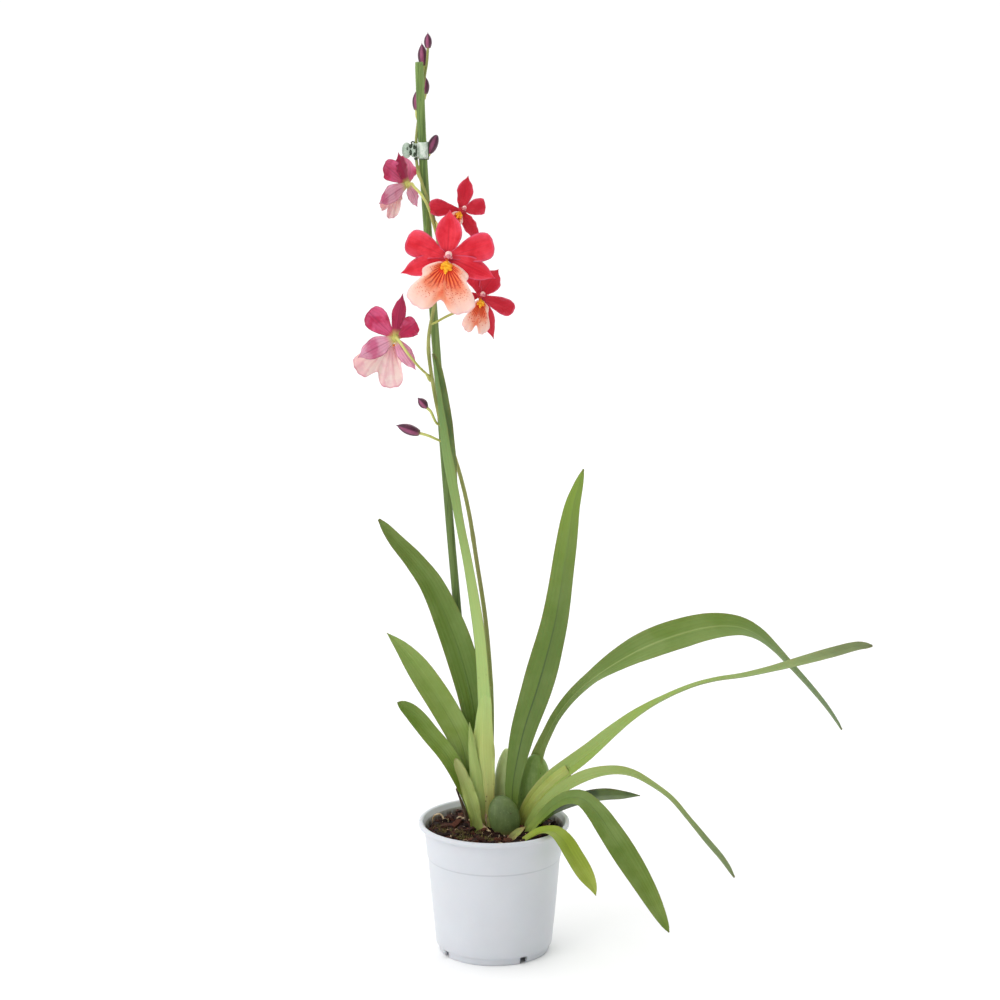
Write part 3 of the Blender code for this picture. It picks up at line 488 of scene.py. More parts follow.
moss_green, place = new_finish("moss_green", Specular_IOR_Level=0.2)
fleck, patch = place.grain(1.3, 3), place.grain(9, 2)
tone = patch.rise(0.4, 0.62).blend("5b4a2c", "5f5c33").coats((fleck.rise(0.45, 0.7), "8f8350"))
feed(moss_green, tone, 0.75 + fleck * 0.2, fleck, 0.2)
moss = bmesh.new()
chance = random.Random(11)
for x, y, wide in MOSS_PATCHES:
    for count in range(int(wide * wide * MOSS_DENSITY)):
        turn, out = chance.uniform(0, 2 * math.pi), wide * chance.random() ** 0.6
        px, py = x + out * math.cos(turn), y + out * math.sin(turn)
        if math.hypot(px, py) > SOIL_EDGE:
            continue
        long = chance.uniform(1.4, 3.6)
        sprig = bmesh.ops.create_cone(moss, cap_ends=True, segments=4,
                                      radius1=0.34, radius2=0.05, depth=long)["verts"]
        bmesh.ops.translate(moss, vec=(0, 0, long / 2), verts=sprig)
        for axis, least, most in (("X", 0.1, 1.25), ("Z", 0, 6.3)):
            bmesh.ops.rotate(moss, verts=sprig, matrix=Matrix.Rotation(
                chance.uniform(least, most), 3, axis))
        bmesh.ops.translate(moss, verts=sprig, vec=(
            px, py, soil_height(px, py) + 0.4 + 1.4 * chance.random()))
moss = make_piece("moss", moss, moss_green)
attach(moss, "root")

fibres, _ = new_shape()
for count in range(FIBRE_COUNT):
    turn, out = chance.uniform(0, 2 * math.pi), FIBRE_REACH * math.sqrt(chance.random())
    x, y = out * math.cos(turn), out * math.sin(turn)
    way, long = chance.uniform(0, 2 * math.pi), chance.uniform(3, 8)
    rise = chance.uniform(1.5, 4.0)
    dx, dy = math.cos(way) * long, math.sin(way) * long
    route = ((x - dx * 0.5, y - dy * 0.5, soil_height(x, y) + 0.2),
             (x + dy * 0.2, y - dx * 0.2, soil_height(x, y) + rise),
             (x + dx * 0.5, y + dy * 0.5, soil_height(x, y) + 0.8))
    joined(fibres, tube(route, FIBRE_RADIUS, 7, 4))
fibres = make_piece("dry_fibres", fibres, root_skin)
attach(fibres, "root")


# Cane. A straight-grained stick, dyed green and cut square at the top, which is pushed into
# the bark behind the plant and leans left with the flower stem that it holds up.
STAKE_ROUTE = (
    (-14.5, 29.5, 22.0), (-16.0, 28.0, 100.0), (-21.2, 24.0, 177.0), (-28.6, 18.0, 272.0),
    (-34.6, 13.0, 348.0), (-42.9, 8.0, 465.0), (-46.5, 6.0, 516.0), (-51.0, 4.0, 586.0),
    (-53.8, 2.0, 636.0), (-56.0, 0.0, 702.0),
)
STAKE_RADIUS = 3.2

cane_dye, place = new_finish("dyed_cane", Specular_IOR_Level=0.4)
around, along, _ = place.mark().parts()
fibre = place.grain(1.1, 4, (1, 1, 0.03))
broad = place.grain(5, 3, (1, 1, 0.05))
nick = place.grain(2.0, 2, (1, 1, 0.3)).rise(0.68, 0.76)
tone = fibre.rise(0.3, 0.7).blend("46602a", "748f46").coats(
    (broad.rise(0.42, 0.62) * 0.5, "93ad62"), (along.rise(0.75, 0.45) * 0.55, "3c4c18"),
    (nick * 0.6, "2c421f"))
feed(cane_dye, tone, 0.42 + fibre * 0.25, fibre + broad * 0.6, 0.25)
cane = make_piece("cane", tube(
    STAKE_ROUTE, lambda s, turn: STAKE_RADIUS * (1 + 0.025 * math.sin(3 * turn + s * 9))
    * (0.93 if s > 0.9985 else 1.0), 140, 28), cane_dye, sharp=40)
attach(cane, "root")
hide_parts("stake")


# Pseudobulbs. Three swollen, slightly flattened stem bases in which the plant stores water,
# smooth and shallowly ribbed. They sit in the bark and bear the leaves.
BULBS = (
    ("bulb_front", "pseudobulb_front", (7.9, -12.4, 112.0), (12.2, 6.8, 18.2), -13,
     "526535", "6a7d47"),
    ("bulb_right", "pseudobulb_right", (31.0, 12.6, 124.0), (14.0, 8.0, 32.0), 4,
     "6d8a3c", "86a155"),
    # The back bulb's colours are painted paler than its tissue, as painted light against the
    # shade that the leaves round it cast.
    ("bulb_back", "pseudobulb_back", (8.2, 19.0, 126.0), (8.6, 9.6, 33.0), 4,
     "c2d48a", "d6e4a8"),
)


def bulb_finish(name, deep, pale):
    finish, place = new_finish(name, Specular_IOR_Level=0.45, Subsurface_Weight=0.06,
                               Subsurface_Scale=0.004)
    _, _, z = place.parts()
    cloud = place.grain(11, 3)
    line = place.grain(1.5, 3, (1, 1, 0.06))
    tone = (cloud * 0.7 + line * 0.4 - 0.1).rise(0.25, 0.75).blend(deep, pale).coats(
        (place.dots(2.2, 0.10, 0.3) * 0.12, "c0cc90"),
        ((z / MM).rise(104.5, 98.0) * 0.8, "7d7440"),
        (place.dots(7.5, 0.05, 0.10) * 0.7, "4a3a20"))
    feed(finish, tone, 0.36 + cloud * 0.2, line + cloud, 0.2)
    return finish


for name, node, middle, radii, lean, deep, pale in BULBS:
    shape = bmesh.new()
    bmesh.ops.create_uvsphere(shape, u_segments=72, v_segments=44, radius=1.0)
    for vert in shape.verts:
        x, y, z = vert.co
        rib = 1 + 0.014 * math.sin(9 * math.atan2(y, x) + 0.5) * (1 - z * z)
        dent = 1 + 0.02 * drift(vert.co * 2.3)
        vert.co = Vector((x * radii[0], y * radii[1], z * radii[2])) * rib * dent
    bmesh.ops.rotate(shape, verts=shape.verts,
                     matrix=Matrix.Rotation(math.radians(lean), 3, "Y"))
    bmesh.ops.translate(shape, vec=middle, verts=shape.verts)
    bulb = make_piece(name, shape, bulb_finish(name + "_skin", deep, pale), sharp=80)
    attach(bulb, "root")
    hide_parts(node)


# Leaves. Long, strap-shaped leaves, creased along the midrib, each clasping the stem with a
# paler sheath at its foot. They are living tissue with fine parallel veins, glossier above
# and paler beneath, and they grow out of the bulbs and between them.
LEAF_THICKNESS = 0.8
LEAVES = (
    # piece, node, form, colours and markings
    ("tall_leaf", "leaf_tall", dict(
        route=((-11.2, 9, 93), (-11.0, 8.4, 106), (-10.4, 6.5, 149.1), (-12.3, 1.5, 216.9),
               (-14.3, -1, 250.8), (-18.3, -4, 284.6), (-22.7, -7, 315.8),
               (-27.2, -9, 340.9), (-31.7, -10, 365.7), (-38.4, -11, 402.1),
               (-41.0, -11, 431.1), (-43.6, -12, 459.3), (-46.4, -12, 482)),
        width=15, face=((0.99, 0.14, 0.1),) * 6 + (
            (0.98, 0.17, 0.1), (0.98, 0.17, 0.1), (0.99, -0.16, 0.1), (0.9, -0.44, 0.1),
            (0.82, -0.57, 0.1)),
        fold=1.4, outline=((0, 0.7), (0.08, 0.8), (0.17, 1.0), (0.27, 0.94), (0.37, 0.84),
                           (0.475, 0.78), (0.585, 0.62), (0.67, 0.58), (0.73, 0.72),
                           (0.78, 0.94), (0.84, 0.86), (0.9, 0.7), (0.95, 0.54),
                           (0.98, 0.4), (1, 0.12))),
     dict(foot="9aa85a", body="4f6c2a", tip="587835", under="a0b96c",
          foot_share=0.3, rib=-0.5, specks=0.9)),
    ("left_upper_leaf", "leaf_left_upper", dict(
        route=((-11.0, 16.5, 93), (-11.8, 16, 118), (-13.6, 14.5, 168), (-17.5, 12, 201),
               (-25.3, 9, 234), (-34.9, 7, 263), (-48.6, 5, 295), (-62.8, 3, 316.0),
               (-76.6, 1, 332.5), (-88.9, -2, 350)),
        width=24, face=((0.0, -0.97, 0.2), (0.3, -0.85, 0.45)),
        fold=0.3, outline=((0, 0.3), (0.25, 0.66), (0.45, 0.95), (0.58, 1.0),
                           (0.7, 0.88), (0.82, 0.7), (0.92, 0.5), (0.97, 0.32), (1, 0.1))),
     dict(foot="84a046", body="5f7a28", tip="6a8036", under="869c58",
          foot_share=0.25, rib=-0.3)),
    ("left_middle_leaf", "leaf_left_middle", dict(
        route=((-14.4, 1.6, 93), (-15.2, 0.8, 116.6), (-20.5, -0.4, 148.3),
               (-26.3, -1.0, 172.2), (-38.2, -0.5, 195.5), (-54.9, 1, 222.0),
               (-70.4, 3, 243.5), (-83.7, 5, 257.6)),
        width=21, face=((0.1, -0.95, 0.3), (0.2, -0.85, 0.5)),
        fold=0.3, base=0.24, widest=0.6, tip=1.7),
     dict(foot="9fb05a", body="78903a", tip="809a48", under="95a966",
          foot_share=0.3, rib=-0.22)),
    ("left_lower_leaf", "leaf_left_lower", dict(
        route=((-15.5, -5.0, 93.9), (-16.4, -5.6, 113.0), (-24.7, -8.1, 138.4),
               (-36.1, -10, 160.8), (-50.0, -13, 179.8), (-63.9, -16, 197.8),
               (-74.9, -20, 208.4)),
        width=15, face=((0.2, -0.9, 0.4), (0.3, -0.8, 0.5)),
        fold=0.35, base=0.32, widest=0.6, tip=3.0, blunt=0.6),
     dict(foot="93a54e", body="6f8a2c", tip="68832f", under="8ca35a",
          foot_share=0.28, rib=-0.3)),
    ("upright_leaf", "leaf_upright", dict(
        route=((14.2, -1.2, 93), (14.5, -1.4, 131.1), (17.7, -0.8, 153.1),
               (23.5, 0.2, 179.8), (33.6, 1.6, 212.0), (41.4, 3.4, 239.9),
               (48.6, 6, 270.7), (56.0, 12, 320.6), (61.0, 16, 354.9), (65.3, 18, 370.7),
               (69.6, 20, 385.0)),
        width=24.5, face=((-0.1, -1, 0.1), (-0.25, -0.95, 0.2)),
        fold=0.42, outline=((0, 0.22), (0.15, 0.5), (0.3, 0.82), (0.45, 1.0), (0.58, 0.88),
                            (0.7, 0.76), (0.82, 0.66), (0.91, 0.48), (0.97, 0.25),
                            (1, 0.05))),
     dict(foot="7f9746", body="5c762a", tip="7a9436", under="7c9050",
          foot_share=0.16, rib=-0.75, painted_half_light=0.22)),
    ("arching_leaf", "leaf_arching", dict(
        route=((33.5, 13, 150), (37.6, 14.5, 161.5), (42.4, 16.5, 171.5), (49.4, 20, 184.4),
               (61.5, 24, 199.4), (77.3, 29, 212.6), (96.4, 34, 224.6), (118.7, 40, 235.4),
               (144.2, 46, 244), (171.3, 50, 249.9), (193.6, 52, 249.4), (209, 52, 243),
               (222, 51, 232), (236.3, 49, 217), (252.6, 46, 199.4), (265.6, 43, 184),
               (277.0, 40, 168)),
        width=25, face=((-0.5, -0.8, 0.3), (-0.66, -0.5, 0.6), (0.0, -0.9, 0.45),
                        (0.7, -0.3, 0.6), (0.85, -0.3, 0.4)),
        fold=0.3, outline=((0, 0.5), (0.05, 0.4), (0.12, 0.4), (0.22, 0.56), (0.32, 0.84),
                           (0.42, 1.0), (0.55, 0.9), (0.68, 0.62), (0.8, 0.45),
                           (0.92, 0.34), (0.98, 0.22), (1, 0.08))),
     dict(foot="869a52", body="6c8636", tip="70865a", under="8a9e5c",
          foot_share=0.12, rib=0.35)),
    ("long_right_leaf", "leaf_long_right", dict(
        route=((22.6, -0.2, 93), (25, -1.4, 110), (33, -4.6, 126), (45.5, -8, 141.0),
               (61.1, -10, 154.0), (75, -12, 165.4), (92, -14, 180.6), (110.5, -16, 196.0),
               (132.1, -17, 210.0), (153.7, -18, 220.4), (172.2, -18, 225.6),
               (194.7, -18, 229.0), (218, -17, 234), (241.2, -16, 240.5),
               (264.5, -14, 247), (282.5, -12, 251.5), (294.0, -10, 251)),
        width=14.5, face=((-0.3, -0.8, 0.5), (-0.45, -0.7, 0.5), (-0.5, 0.0, 0.85),
                          (-0.25, -0.2, 0.95), (-0.2, -0.95, 0.25)),
        fold=0.4, outline=((0, 0.7), (0.15, 1.0), (0.3, 1.0), (0.44, 0.9), (0.55, 0.62),
                           (0.65, 0.52), (0.76, 0.66), (0.88, 0.64), (0.95, 0.52),
                           (0.985, 0.34), (1, 0.12))),
     dict(foot="97a048", body="87a046", tip="748055", under="94a76a",
          foot_share=0.22, rib=0.15, specks=0.2)),
    ("right_drooping_leaf", "leaf_right_drooping", dict(
        route=((25.6, -9.6, 93), (28.6, -10.6, 107), (40, -16.6, 125), (56.2, -22.6, 140.4),
               (74.7, -28, 151.4), (93.9, -34, 156.5), (108, -38, 155.0),
               (122.7, -42, 148), (137.0, -46, 138), (150.1, -50, 123),
               (163.3, -54, 107.6), (176.5, -57, 92.7), (186.2, -60, 79)),
        width=12.5, face=((-0.4, -0.65, 0.65), (-0.2, -0.6, 0.8), (0.4, -0.3, 0.85),
                          (0.8, -0.25, 0.5), (0.7, -0.6, 0.4)),
        fold=0.35, outline=((0, 0.55), (0.2, 0.85), (0.35, 1.0), (0.48, 0.86), (0.6, 0.62),
                            (0.75, 0.64), (0.88, 0.6), (0.96, 0.42), (1, 0.12))),
     dict(foot="8da04e", body="8ea254", tip="6f8056", under="97a96a",
          foot_share=0.2, rib=0.15)),
    ("right_back_leaf", "leaf_right_back", dict(
        route=((32.5, 0.4, 93), (34, 1.0, 101), (40.5, 2.4, 107.5), (49, 7.4, 112),
               (64.3, 18, 115), (84.4, 28, 116.5), (102.2, 34, 115), (116.8, 39, 113.5)),
        width=14, face=((-0.3, -0.4, 0.85), (0.1, -0.45, 0.9)),
        fold=0.3, base=0.3, widest=0.6, tip=1.4),
     # This low leaf's upper side is painted very dark, as painted shade under the leaves above
     # it.
     dict(foot="86a048", body="263c0e", tip="324a14", under="8fa852",
          foot_share=0.3, rib=-0.3)),
    ("front_drooping_leaf", "leaf_front_drooping", dict(
        route=((24, -20, 93), (27.6, -21.6, 103), (36, -26, 116), (46, -31, 127.6),
               (56.7, -36, 135.5), (68.2, -42, 137), (79, -48, 128.3), (89.7, -55, 114.4),
               (103.5, -62, 94), (116.6, -68, 73.4), (126.6, -73, 55.6),
               (135.1, -77, 40.4)),
        width=19.5, face=((-0.45, -0.6, 0.65), (0.35, -0.85, 0.4)),
        fold=0.28, outline=((0, 0.36), (0.2, 0.48), (0.36, 0.66), (0.5, 0.9), (0.65, 1.0),
                            (0.8, 0.84), (0.9, 0.6), (0.97, 0.3), (1, 0.05))),
     dict(foot="84983f", body="5f7829", tip="6b8230", under="8ca05e",
          foot_share=0.2, rib=-0.25)),
    ("front_short_leaf", "leaf_front_short", dict(
        route=((17.4, -31.4, 93), (21.4, -32.6, 98.4), (29.5, -35.4, 104.7),
               (38, -38.6, 109.5), (46, -43, 110.4), (53.6, -47.4, 105.3),
               (61, -52.4, 94.4), (69.6, -59, 82.4), (76, -63.4, 72.8),
               (78.9, -66.6, 66.5)),
        width=15.5, face=((-0.2, -0.4, 0.9), (0.0, -0.2, 0.97), (0.3, -0.7, 0.6),
                          (0.3, -0.85, 0.4)),
        fold=0.28, base=0.34, widest=0.6, tip=1.8),
     dict(foot="8f9c40", body="859824", tip="90a035", under="aab860",
          foot_share=0.2, rib=-0.2)),
    ("left_sheath", "sheath_left", dict(
        route=((-11.2, -9.2, 93), (-13.6, -10.2, 108.7), (-20.6, -12.5, 134.3),
               (-30.2, -15.0, 160.9)),
        width=10.8, face=((0.1, -0.95, 0.3), (0.3, -0.85, 0.4)),
        fold=0.4, flutter=1.6, outline=((0, 0.6), (0.3, 0.85), (0.6, 1.0), (0.85, 0.86),
                                        (0.95, 0.62), (1, 0.3))),
     dict(foot="9ca858", body="9fb05c", tip="a9ae6c", under="adb878",
          foot_share=0.3, rib=0.2, specks=0.5)),
)


def sheet(columns, rows, crowd=1.0):
    """A thin square sheet with two sides, as a shape and its layer lay.

    The layer holds the place across it, the place along it, and 1 for its upper side or 0
    for its underside. A crowd over 1 sets its rows closer at the far end.
    """
    shape, lay = new_shape()
    bmesh.ops.create_grid(shape, x_segments=columns, y_segments=rows, size=1.0)
    for vert in shape.verts:
        vert[lay] = (vert.co.x, 1 - (1 - (vert.co.y + 1) / 2) ** crowd, 1.0)
    for part in bmesh.ops.solidify(shape, geom=shape.faces[:], thickness=0.1)["geom"]:
        if isinstance(part, bmesh.types.BMVert):
            part[lay][2] = 0.0
    return shape, lay


def blade(route, width, face, rows=84, columns=14, fold=0.3, base=0.35, widest=0.45,
          tip=1.5, blunt=1.0, outline=None, crowd=1.2, ripple=0.0, waves=4,
          thickness=LEAF_THICKNESS, flutter=0.35, seed=0.0):
    """A strap along a route: a leaf, sepal or petal, with thin edges.

    face gives the ways that its upper side looks, from base to tip, and outline its share
    of the full width at places along it.
    """
    points = smooth_route(route, rows * 4 + 1)
    ways = directions(points)
    looks = [Vector(f) for f in face]
    shape, lay = sheet(columns, rows, crowd)
    for vert in shape.verts:
        v, s, upper = vert[lay]
        k = round(s * rows * 4)
        span = min(int(s * (len(looks) - 1)), len(looks) - 2)
        look = looks[span].lerp(looks[span + 1], s * (len(looks) - 1) - span)
        side = ways[k].cross(look).normalized()
        up = side.cross(ways[k])
        if outline:
            half = follow(outline, s)
        elif s < widest:
            half = base + (1 - base) * math.sin(math.pi / 2 * s / widest)
        else:
            past = (s - widest) / (1 - widest)
            half = max(math.cos(math.pi / 2 * past ** tip), 0.0) ** blunt
        half = max(half * width / 2, 0.15)
        wave = ripple * abs(v) ** 2 * math.sin(waves * math.pi * s + 1.3 * v)
        lift = fold * (math.sqrt(v * v + 0.02) - 0.14) * half + wave * half / width * 2
        lift += flutter * abs(v) ** 3 * drift(Vector((s * 9, v * 1.5, seed))) * half / width * 4
        keel = 0.25 * max(0.0, 1 - abs(v) * 5)
        lift -= (1 - upper) * thickness * (1 - 0.75 * abs(v) ** 6 + keel)
        vert.co = points[k] + side * (v * half) + up * lift
    bmesh.ops.recalc_face_normals(shape, faces=shape.faces)
    return shape


def leaf_finish(name, foot, body, tip, under, foot_share, rib, specks=0.0, painted_half_light=0.0,
                withered=0.5):
    """Leaf tissue. rib paints shade in the midrib crease below 0 and a highlight on it above.

    specks adds brown specks and papery edges to the foot, painted_half_light paints one half
    of the leaf lighter and the other darker, as light and shade painted on the two sides of
    its fold, and withered browns its very tip.
    """
    finish, place = new_finish(name, Specular_IOR_Level=0.4, Subsurface_Weight=0.1,
                               Subsurface_Scale=0.002)
    lay = place.mark()
    across, along, upper = lay.parts()
    wide = abs(across)
    cloud = place.grain(26, 3)
    streak = lay.grain(1000, 4, (9.0, 1.6, 0.0), 0.5)
    fine = lay.grain(1000, 2, (15.0, 1.8, 0.0), 0.5)
    veins = (across * 25.0 + streak * 2.0).sine()
    top = along.rise(0.55, 1.0).blend(body, tip)
    top = (cloud.rise(0.38, 0.66) * 0.3).blend(top, under)
    low = along.rise(0.35, 1.0).blend(under, tip)
    tone = upper.rise(0.4, 0.6).blend(low, top)
    tone = along.rise(foot_share, foot_share * 0.35).blend(tone, foot)
    tone = tone.lit(0.88 + streak * 0.24 + veins * 0.018 + (fine - 0.5) * 0.12
                    # One half of the fold lighter and the other darker: painted light and shade.
                    + (across.rise(0.06, -0.06) - 0.5) * painted_half_light)
    # The midrib line: painted shade in the crease where rib is below 0, a painted highlight
    # along the fold where it is above.
    middle = wide.rise(0.09, 0.01) * along.rise(0.9, 0.4)
    tone = tone.coats((middle * abs(rib), "33491c" if rib < 0 else "b9c87e"),
                      (wide.rise(0.93, 1.0) * 0.35, "46602a"),
                      (along.rise(0.985, 1.0) * withered, "6b5f38"))
    if specks:
        brown = place.dots(5.2, 0.07, 0.14, (1, 1, 0.7)) * along.rise(0.45, 0.1)
        papery = wide.rise(0.82, 0.98) * along.rise(0.3, 0.1)
        tone = tone.coats((brown * specks, "4e341c"), (papery * specks, "c4a98a"))
    feed(finish, tone, 0.36 + streak * 0.16 + (1 - upper) * 0.12,
         veins * 0.25 + streak + fine * 0.7 - middle * 1.5, 0.12)
    return finish


for number, (name, node, form, look) in enumerate(LEAVES):
    skin = leaf_finish(name + "_tissue", **look)
    leaf = make_piece(name, blade(**form, seed=number * 3.7), skin, sharp=60)
    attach(leaf, "root")
    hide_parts(node)


# Clasping sheaths. The paler, broader feet of the tall leaf and of the long right leaf, which
# wrap round the stem and end in a thin papery edge. They are the same tissue as the
# leaves and grow in one with them.
SHEATHS = (
    ("tall_leaf_sheath", dict(
        route=((-4.6, -5.0, 96), (-5.0, -5.2, 114), (-6.8, -5.4, 136), (-9.0, -5.2, 160),
               (-8.8, -4.0, 186), (-7.0, -0.9, 216)),
        width=18.5, face=((0.1, -1, 0.05), (-0.15, -1, 0.05), (-0.57, -0.82, 0.05)),
        rows=60, fold=-0.35,
        outline=((0, 0.5), (0.2, 0.62), (0.42, 0.92), (0.54, 1.0), (0.74, 0.8), (1, 0.5)),
        thickness=0.5, flutter=1.0),
     dict(foot="b0b066", body="adba68", tip="a0b96c", under="b0c277", foot_share=0.5,
          rib=0.1, specks=1.0, withered=0.0)),
    ("middle_leaf_sheath", dict(
        route=((-8.8, -6.8, 95), (-10.6, -7.2, 116), (-13.6, -7.4, 140), (-16.6, -7.0, 164),
               (-19.2, -5.8, 188)),
        width=10, face=((0.25, -1, 0.1), (0.1, -1, 0.1)), rows=60, fold=-0.3,
        outline=((0, 0.7), (0.25, 0.95), (0.45, 1.0), (0.7, 0.74), (0.9, 0.36), (1, 0.06)),
        thickness=0.5, flutter=0.8),
     dict(foot="a6a95a", body="9db25c", tip="93a95c", under="aebf78", foot_share=0.35,
          rib=0.15, specks=0.6)),
    ("long_leaf_sheath", dict(
        route=((22.0, -1.8, 93), (24.4, -3.0, 110), (32.4, -6.6, 126), (44.8, -10.2, 141.4),
               (57.0, -12.0, 151.8)),
        width=17.5, face=((-0.3, -0.8, 0.5), (-0.45, -0.7, 0.5)), rows=50, fold=-0.3,
        outline=((0, 0.6), (0.3, 0.84), (0.6, 1.0), (0.85, 1.0), (1, 0.96)),
        thickness=0.5, flutter=0.8),
     dict(foot="989a48", body="94a048", tip="9aa650", under="b5bf78", foot_share=0.4,
          rib=0.1, specks=0.4, withered=0.25)),
)
for number, (name, form, look) in enumerate(SHEATHS):
    sheath = make_piece(name, blade(**form, seed=50 + number), leaf_finish(
        name + "_tissue", **look), sharp=60)
    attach(sheath, "root")


# Old sheath remains. A dark dry stub leans left of the stems, a short brown-green shoot
# stands at the front right, and papery scraps of old sheaths cling to the leaf feet. They
# are dead or resting leaf bases, still joined to the plant.
STUB_ROUTE = ((-20.0, 10.5, 93.0), (-21.6, 10.0, 104.0), (-25.4, 8.6, 117.0),
              (-30.0, 6.6, 130.0))
dry_skin, place = new_finish("dry_sheath", Specular_IOR_Level=0.25)
strand = place.grain(1.0, 3, (1, 1, 0.1))
tone = strand.rise(0.3, 0.7).blend("2c201c", "75604f")
feed(dry_skin, tone, 0.7 + strand * 0.2, strand, 0.4)
stub = make_piece("dry_stub", tube(
    STUB_ROUTE, lambda s, turn: (1.9 - 1.2 * s) * (1 + 0.16 * math.sin(4 * turn + 5 * s)
                                                   ) * (0.25 if s > 0.98 else 1),
    34, 18), dry_skin)
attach(stub, "root")
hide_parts("dry_sheath_stub")

shoot = blade(((11.8, -27.0, 97.0), (15.0, -26.0, 100.6), (19.6, -24.4, 104.4),
               (24.6, -22.8, 107.8)), 6.2, ((-0.4, -0.8, 0.5), (-0.3, -0.7, 0.6)), 24, 8,
              fold=0.5, base=0.75, widest=0.3, tip=1.6)
shoot_skin = leaf_finish("shoot_tissue", foot="7d7440", body="8d9448", tip="a08a58",
                         under="a3a668", foot_share=0.5, rib=0.2, specks=0.8)
shoot = make_piece("young_shoot", shoot, shoot_skin, sharp=60)
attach(shoot, "root")

PAPERY_SCRAPS = (
    (((-3.6, 4.6, 150.0), (-2.2, 5.0, 138.0), (-2.6, 5.0, 122.0), (-4.0, 4.4, 108.0)), 2.6),
    (((-8.6, -3.4, 122.0), (-7.0, -5.0, 114.0), (-6.2, -6.4, 104.0)), 2.2),
    (((-14.4, -4.0, 113.0), (-12.6, -6.4, 106.0), (-10.6, -8.6, 100.0)), 3.0),
    (((-9.4, -9.0, 106.0), (-6.8, -11.0, 102.6), (-2.4, -13.4, 100.6)), 2.6),
)
scraps, _ = new_shape()
for route, wide in PAPERY_SCRAPS:
    joined(scraps, blade(route, wide, ((0.2, -0.95, 0.2), (0.4, -0.8, 0.4)), 18, 6,
                         fold=0.3, base=0.5, widest=0.4, thickness=0.25, flutter=2.0))
papery, place = new_finish("papery_sheath", Specular_IOR_Level=0.3)
strand = place.grain(1.2, 3, (1, 1, 0.15))
feed(papery, strand.rise(0.35, 0.7).blend("d2bf98", "9b7a55"),
     0.6 + strand * 0.2, strand, 0.25)
scraps = make_piece("papery_scraps", scraps, papery, sharp=60)
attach(scraps, "root")


# Flower stem. One thin, arching stem with a short stalk to each bud and flower and a small
# bract under some of them. It grows between the leaf feet, runs up beside the cane, and is
# yellow-green, browner where it comes out from behind the tall leaf.
STEM_ROUTE = (
    (-4.0, 21.0, 84.0), (-4.0, 21.0, 116.0), (-2.4, 19.4, 149.0), (-2.0, 16.0, 199.0),
    (-6.2, 12.0, 262.0), (-13.6, 10.4, 314.8), (-20.4, 5.6, 359.2), (-29.5, 0.4, 396.6),
    (-40.6, -2.0, 427.0), (-47.4, 0.0, 461.0), (-49.9, -1.0, 490.0), (-44.7, -3.0, 522.0),
    (-42.1, 0.0, 560.0), (-46.0, -3.0, 587.0), (-52.0, -4.4, 605.0), (-57.2, -2.2, 621.0),
    (-58.6, 0.2, 632.0), (-58.6, 3.2, 643.0), (-57.2, 6.6, 656.0), (-54.9, 8.0, 669.0),
    (-52.4, 6.2, 688.0), (-50.1, 3.0, 702.0), (-49.3, 2.0, 712.9),
)
STEM_JOINTS = (0.2, 0.39, 0.55, 0.63, 0.78)
BRACTS = (
    ((-43.0, -2.4, 570.0), (-42.4, -4.6, 576.0), (-43.8, -6.6, 583.5)),
    ((-48.6, 0.6, 458.0), (-50.8, -1.6, 463.0), (-52.6, -4.0, 466.0)),
)
BRACT_WIDTH = 3.4
BUD_STALKS = (
    ((-35.0, -1.6, 410.0), (-41.5, -2.2, 412.2), (-50.2, -3.4, 416.4), (-56.4, -4.0, 418.4)),
    ((-39.4, -2.0, 424.0), (-43.9, -2.8, 426.0), (-48.4, -4.2, 435.6), (-50.8, -4.7, 438.2)),
    ((-55.4, -3.0, 614.0), (-57.6, 3.6, 618.0), (-56.5, 7.4, 622.0), (-52.0, 8.6, 626.5),
     (-49.5, 8.6, 630.6)),
    ((-57.0, 7.0, 657.0), (-58.2, 9.8, 660.0), (-58.4, 11.5, 664.0)),
    ((-54.0, 7.6, 672.0), (-52.6, 10.0, 673.0), (-51.9, 11.6, 676.0)),
    ((-52.2, 6.0, 689.0), (-52.6, 7.8, 693.0), (-52.7, 8.4, 697.6)),
)
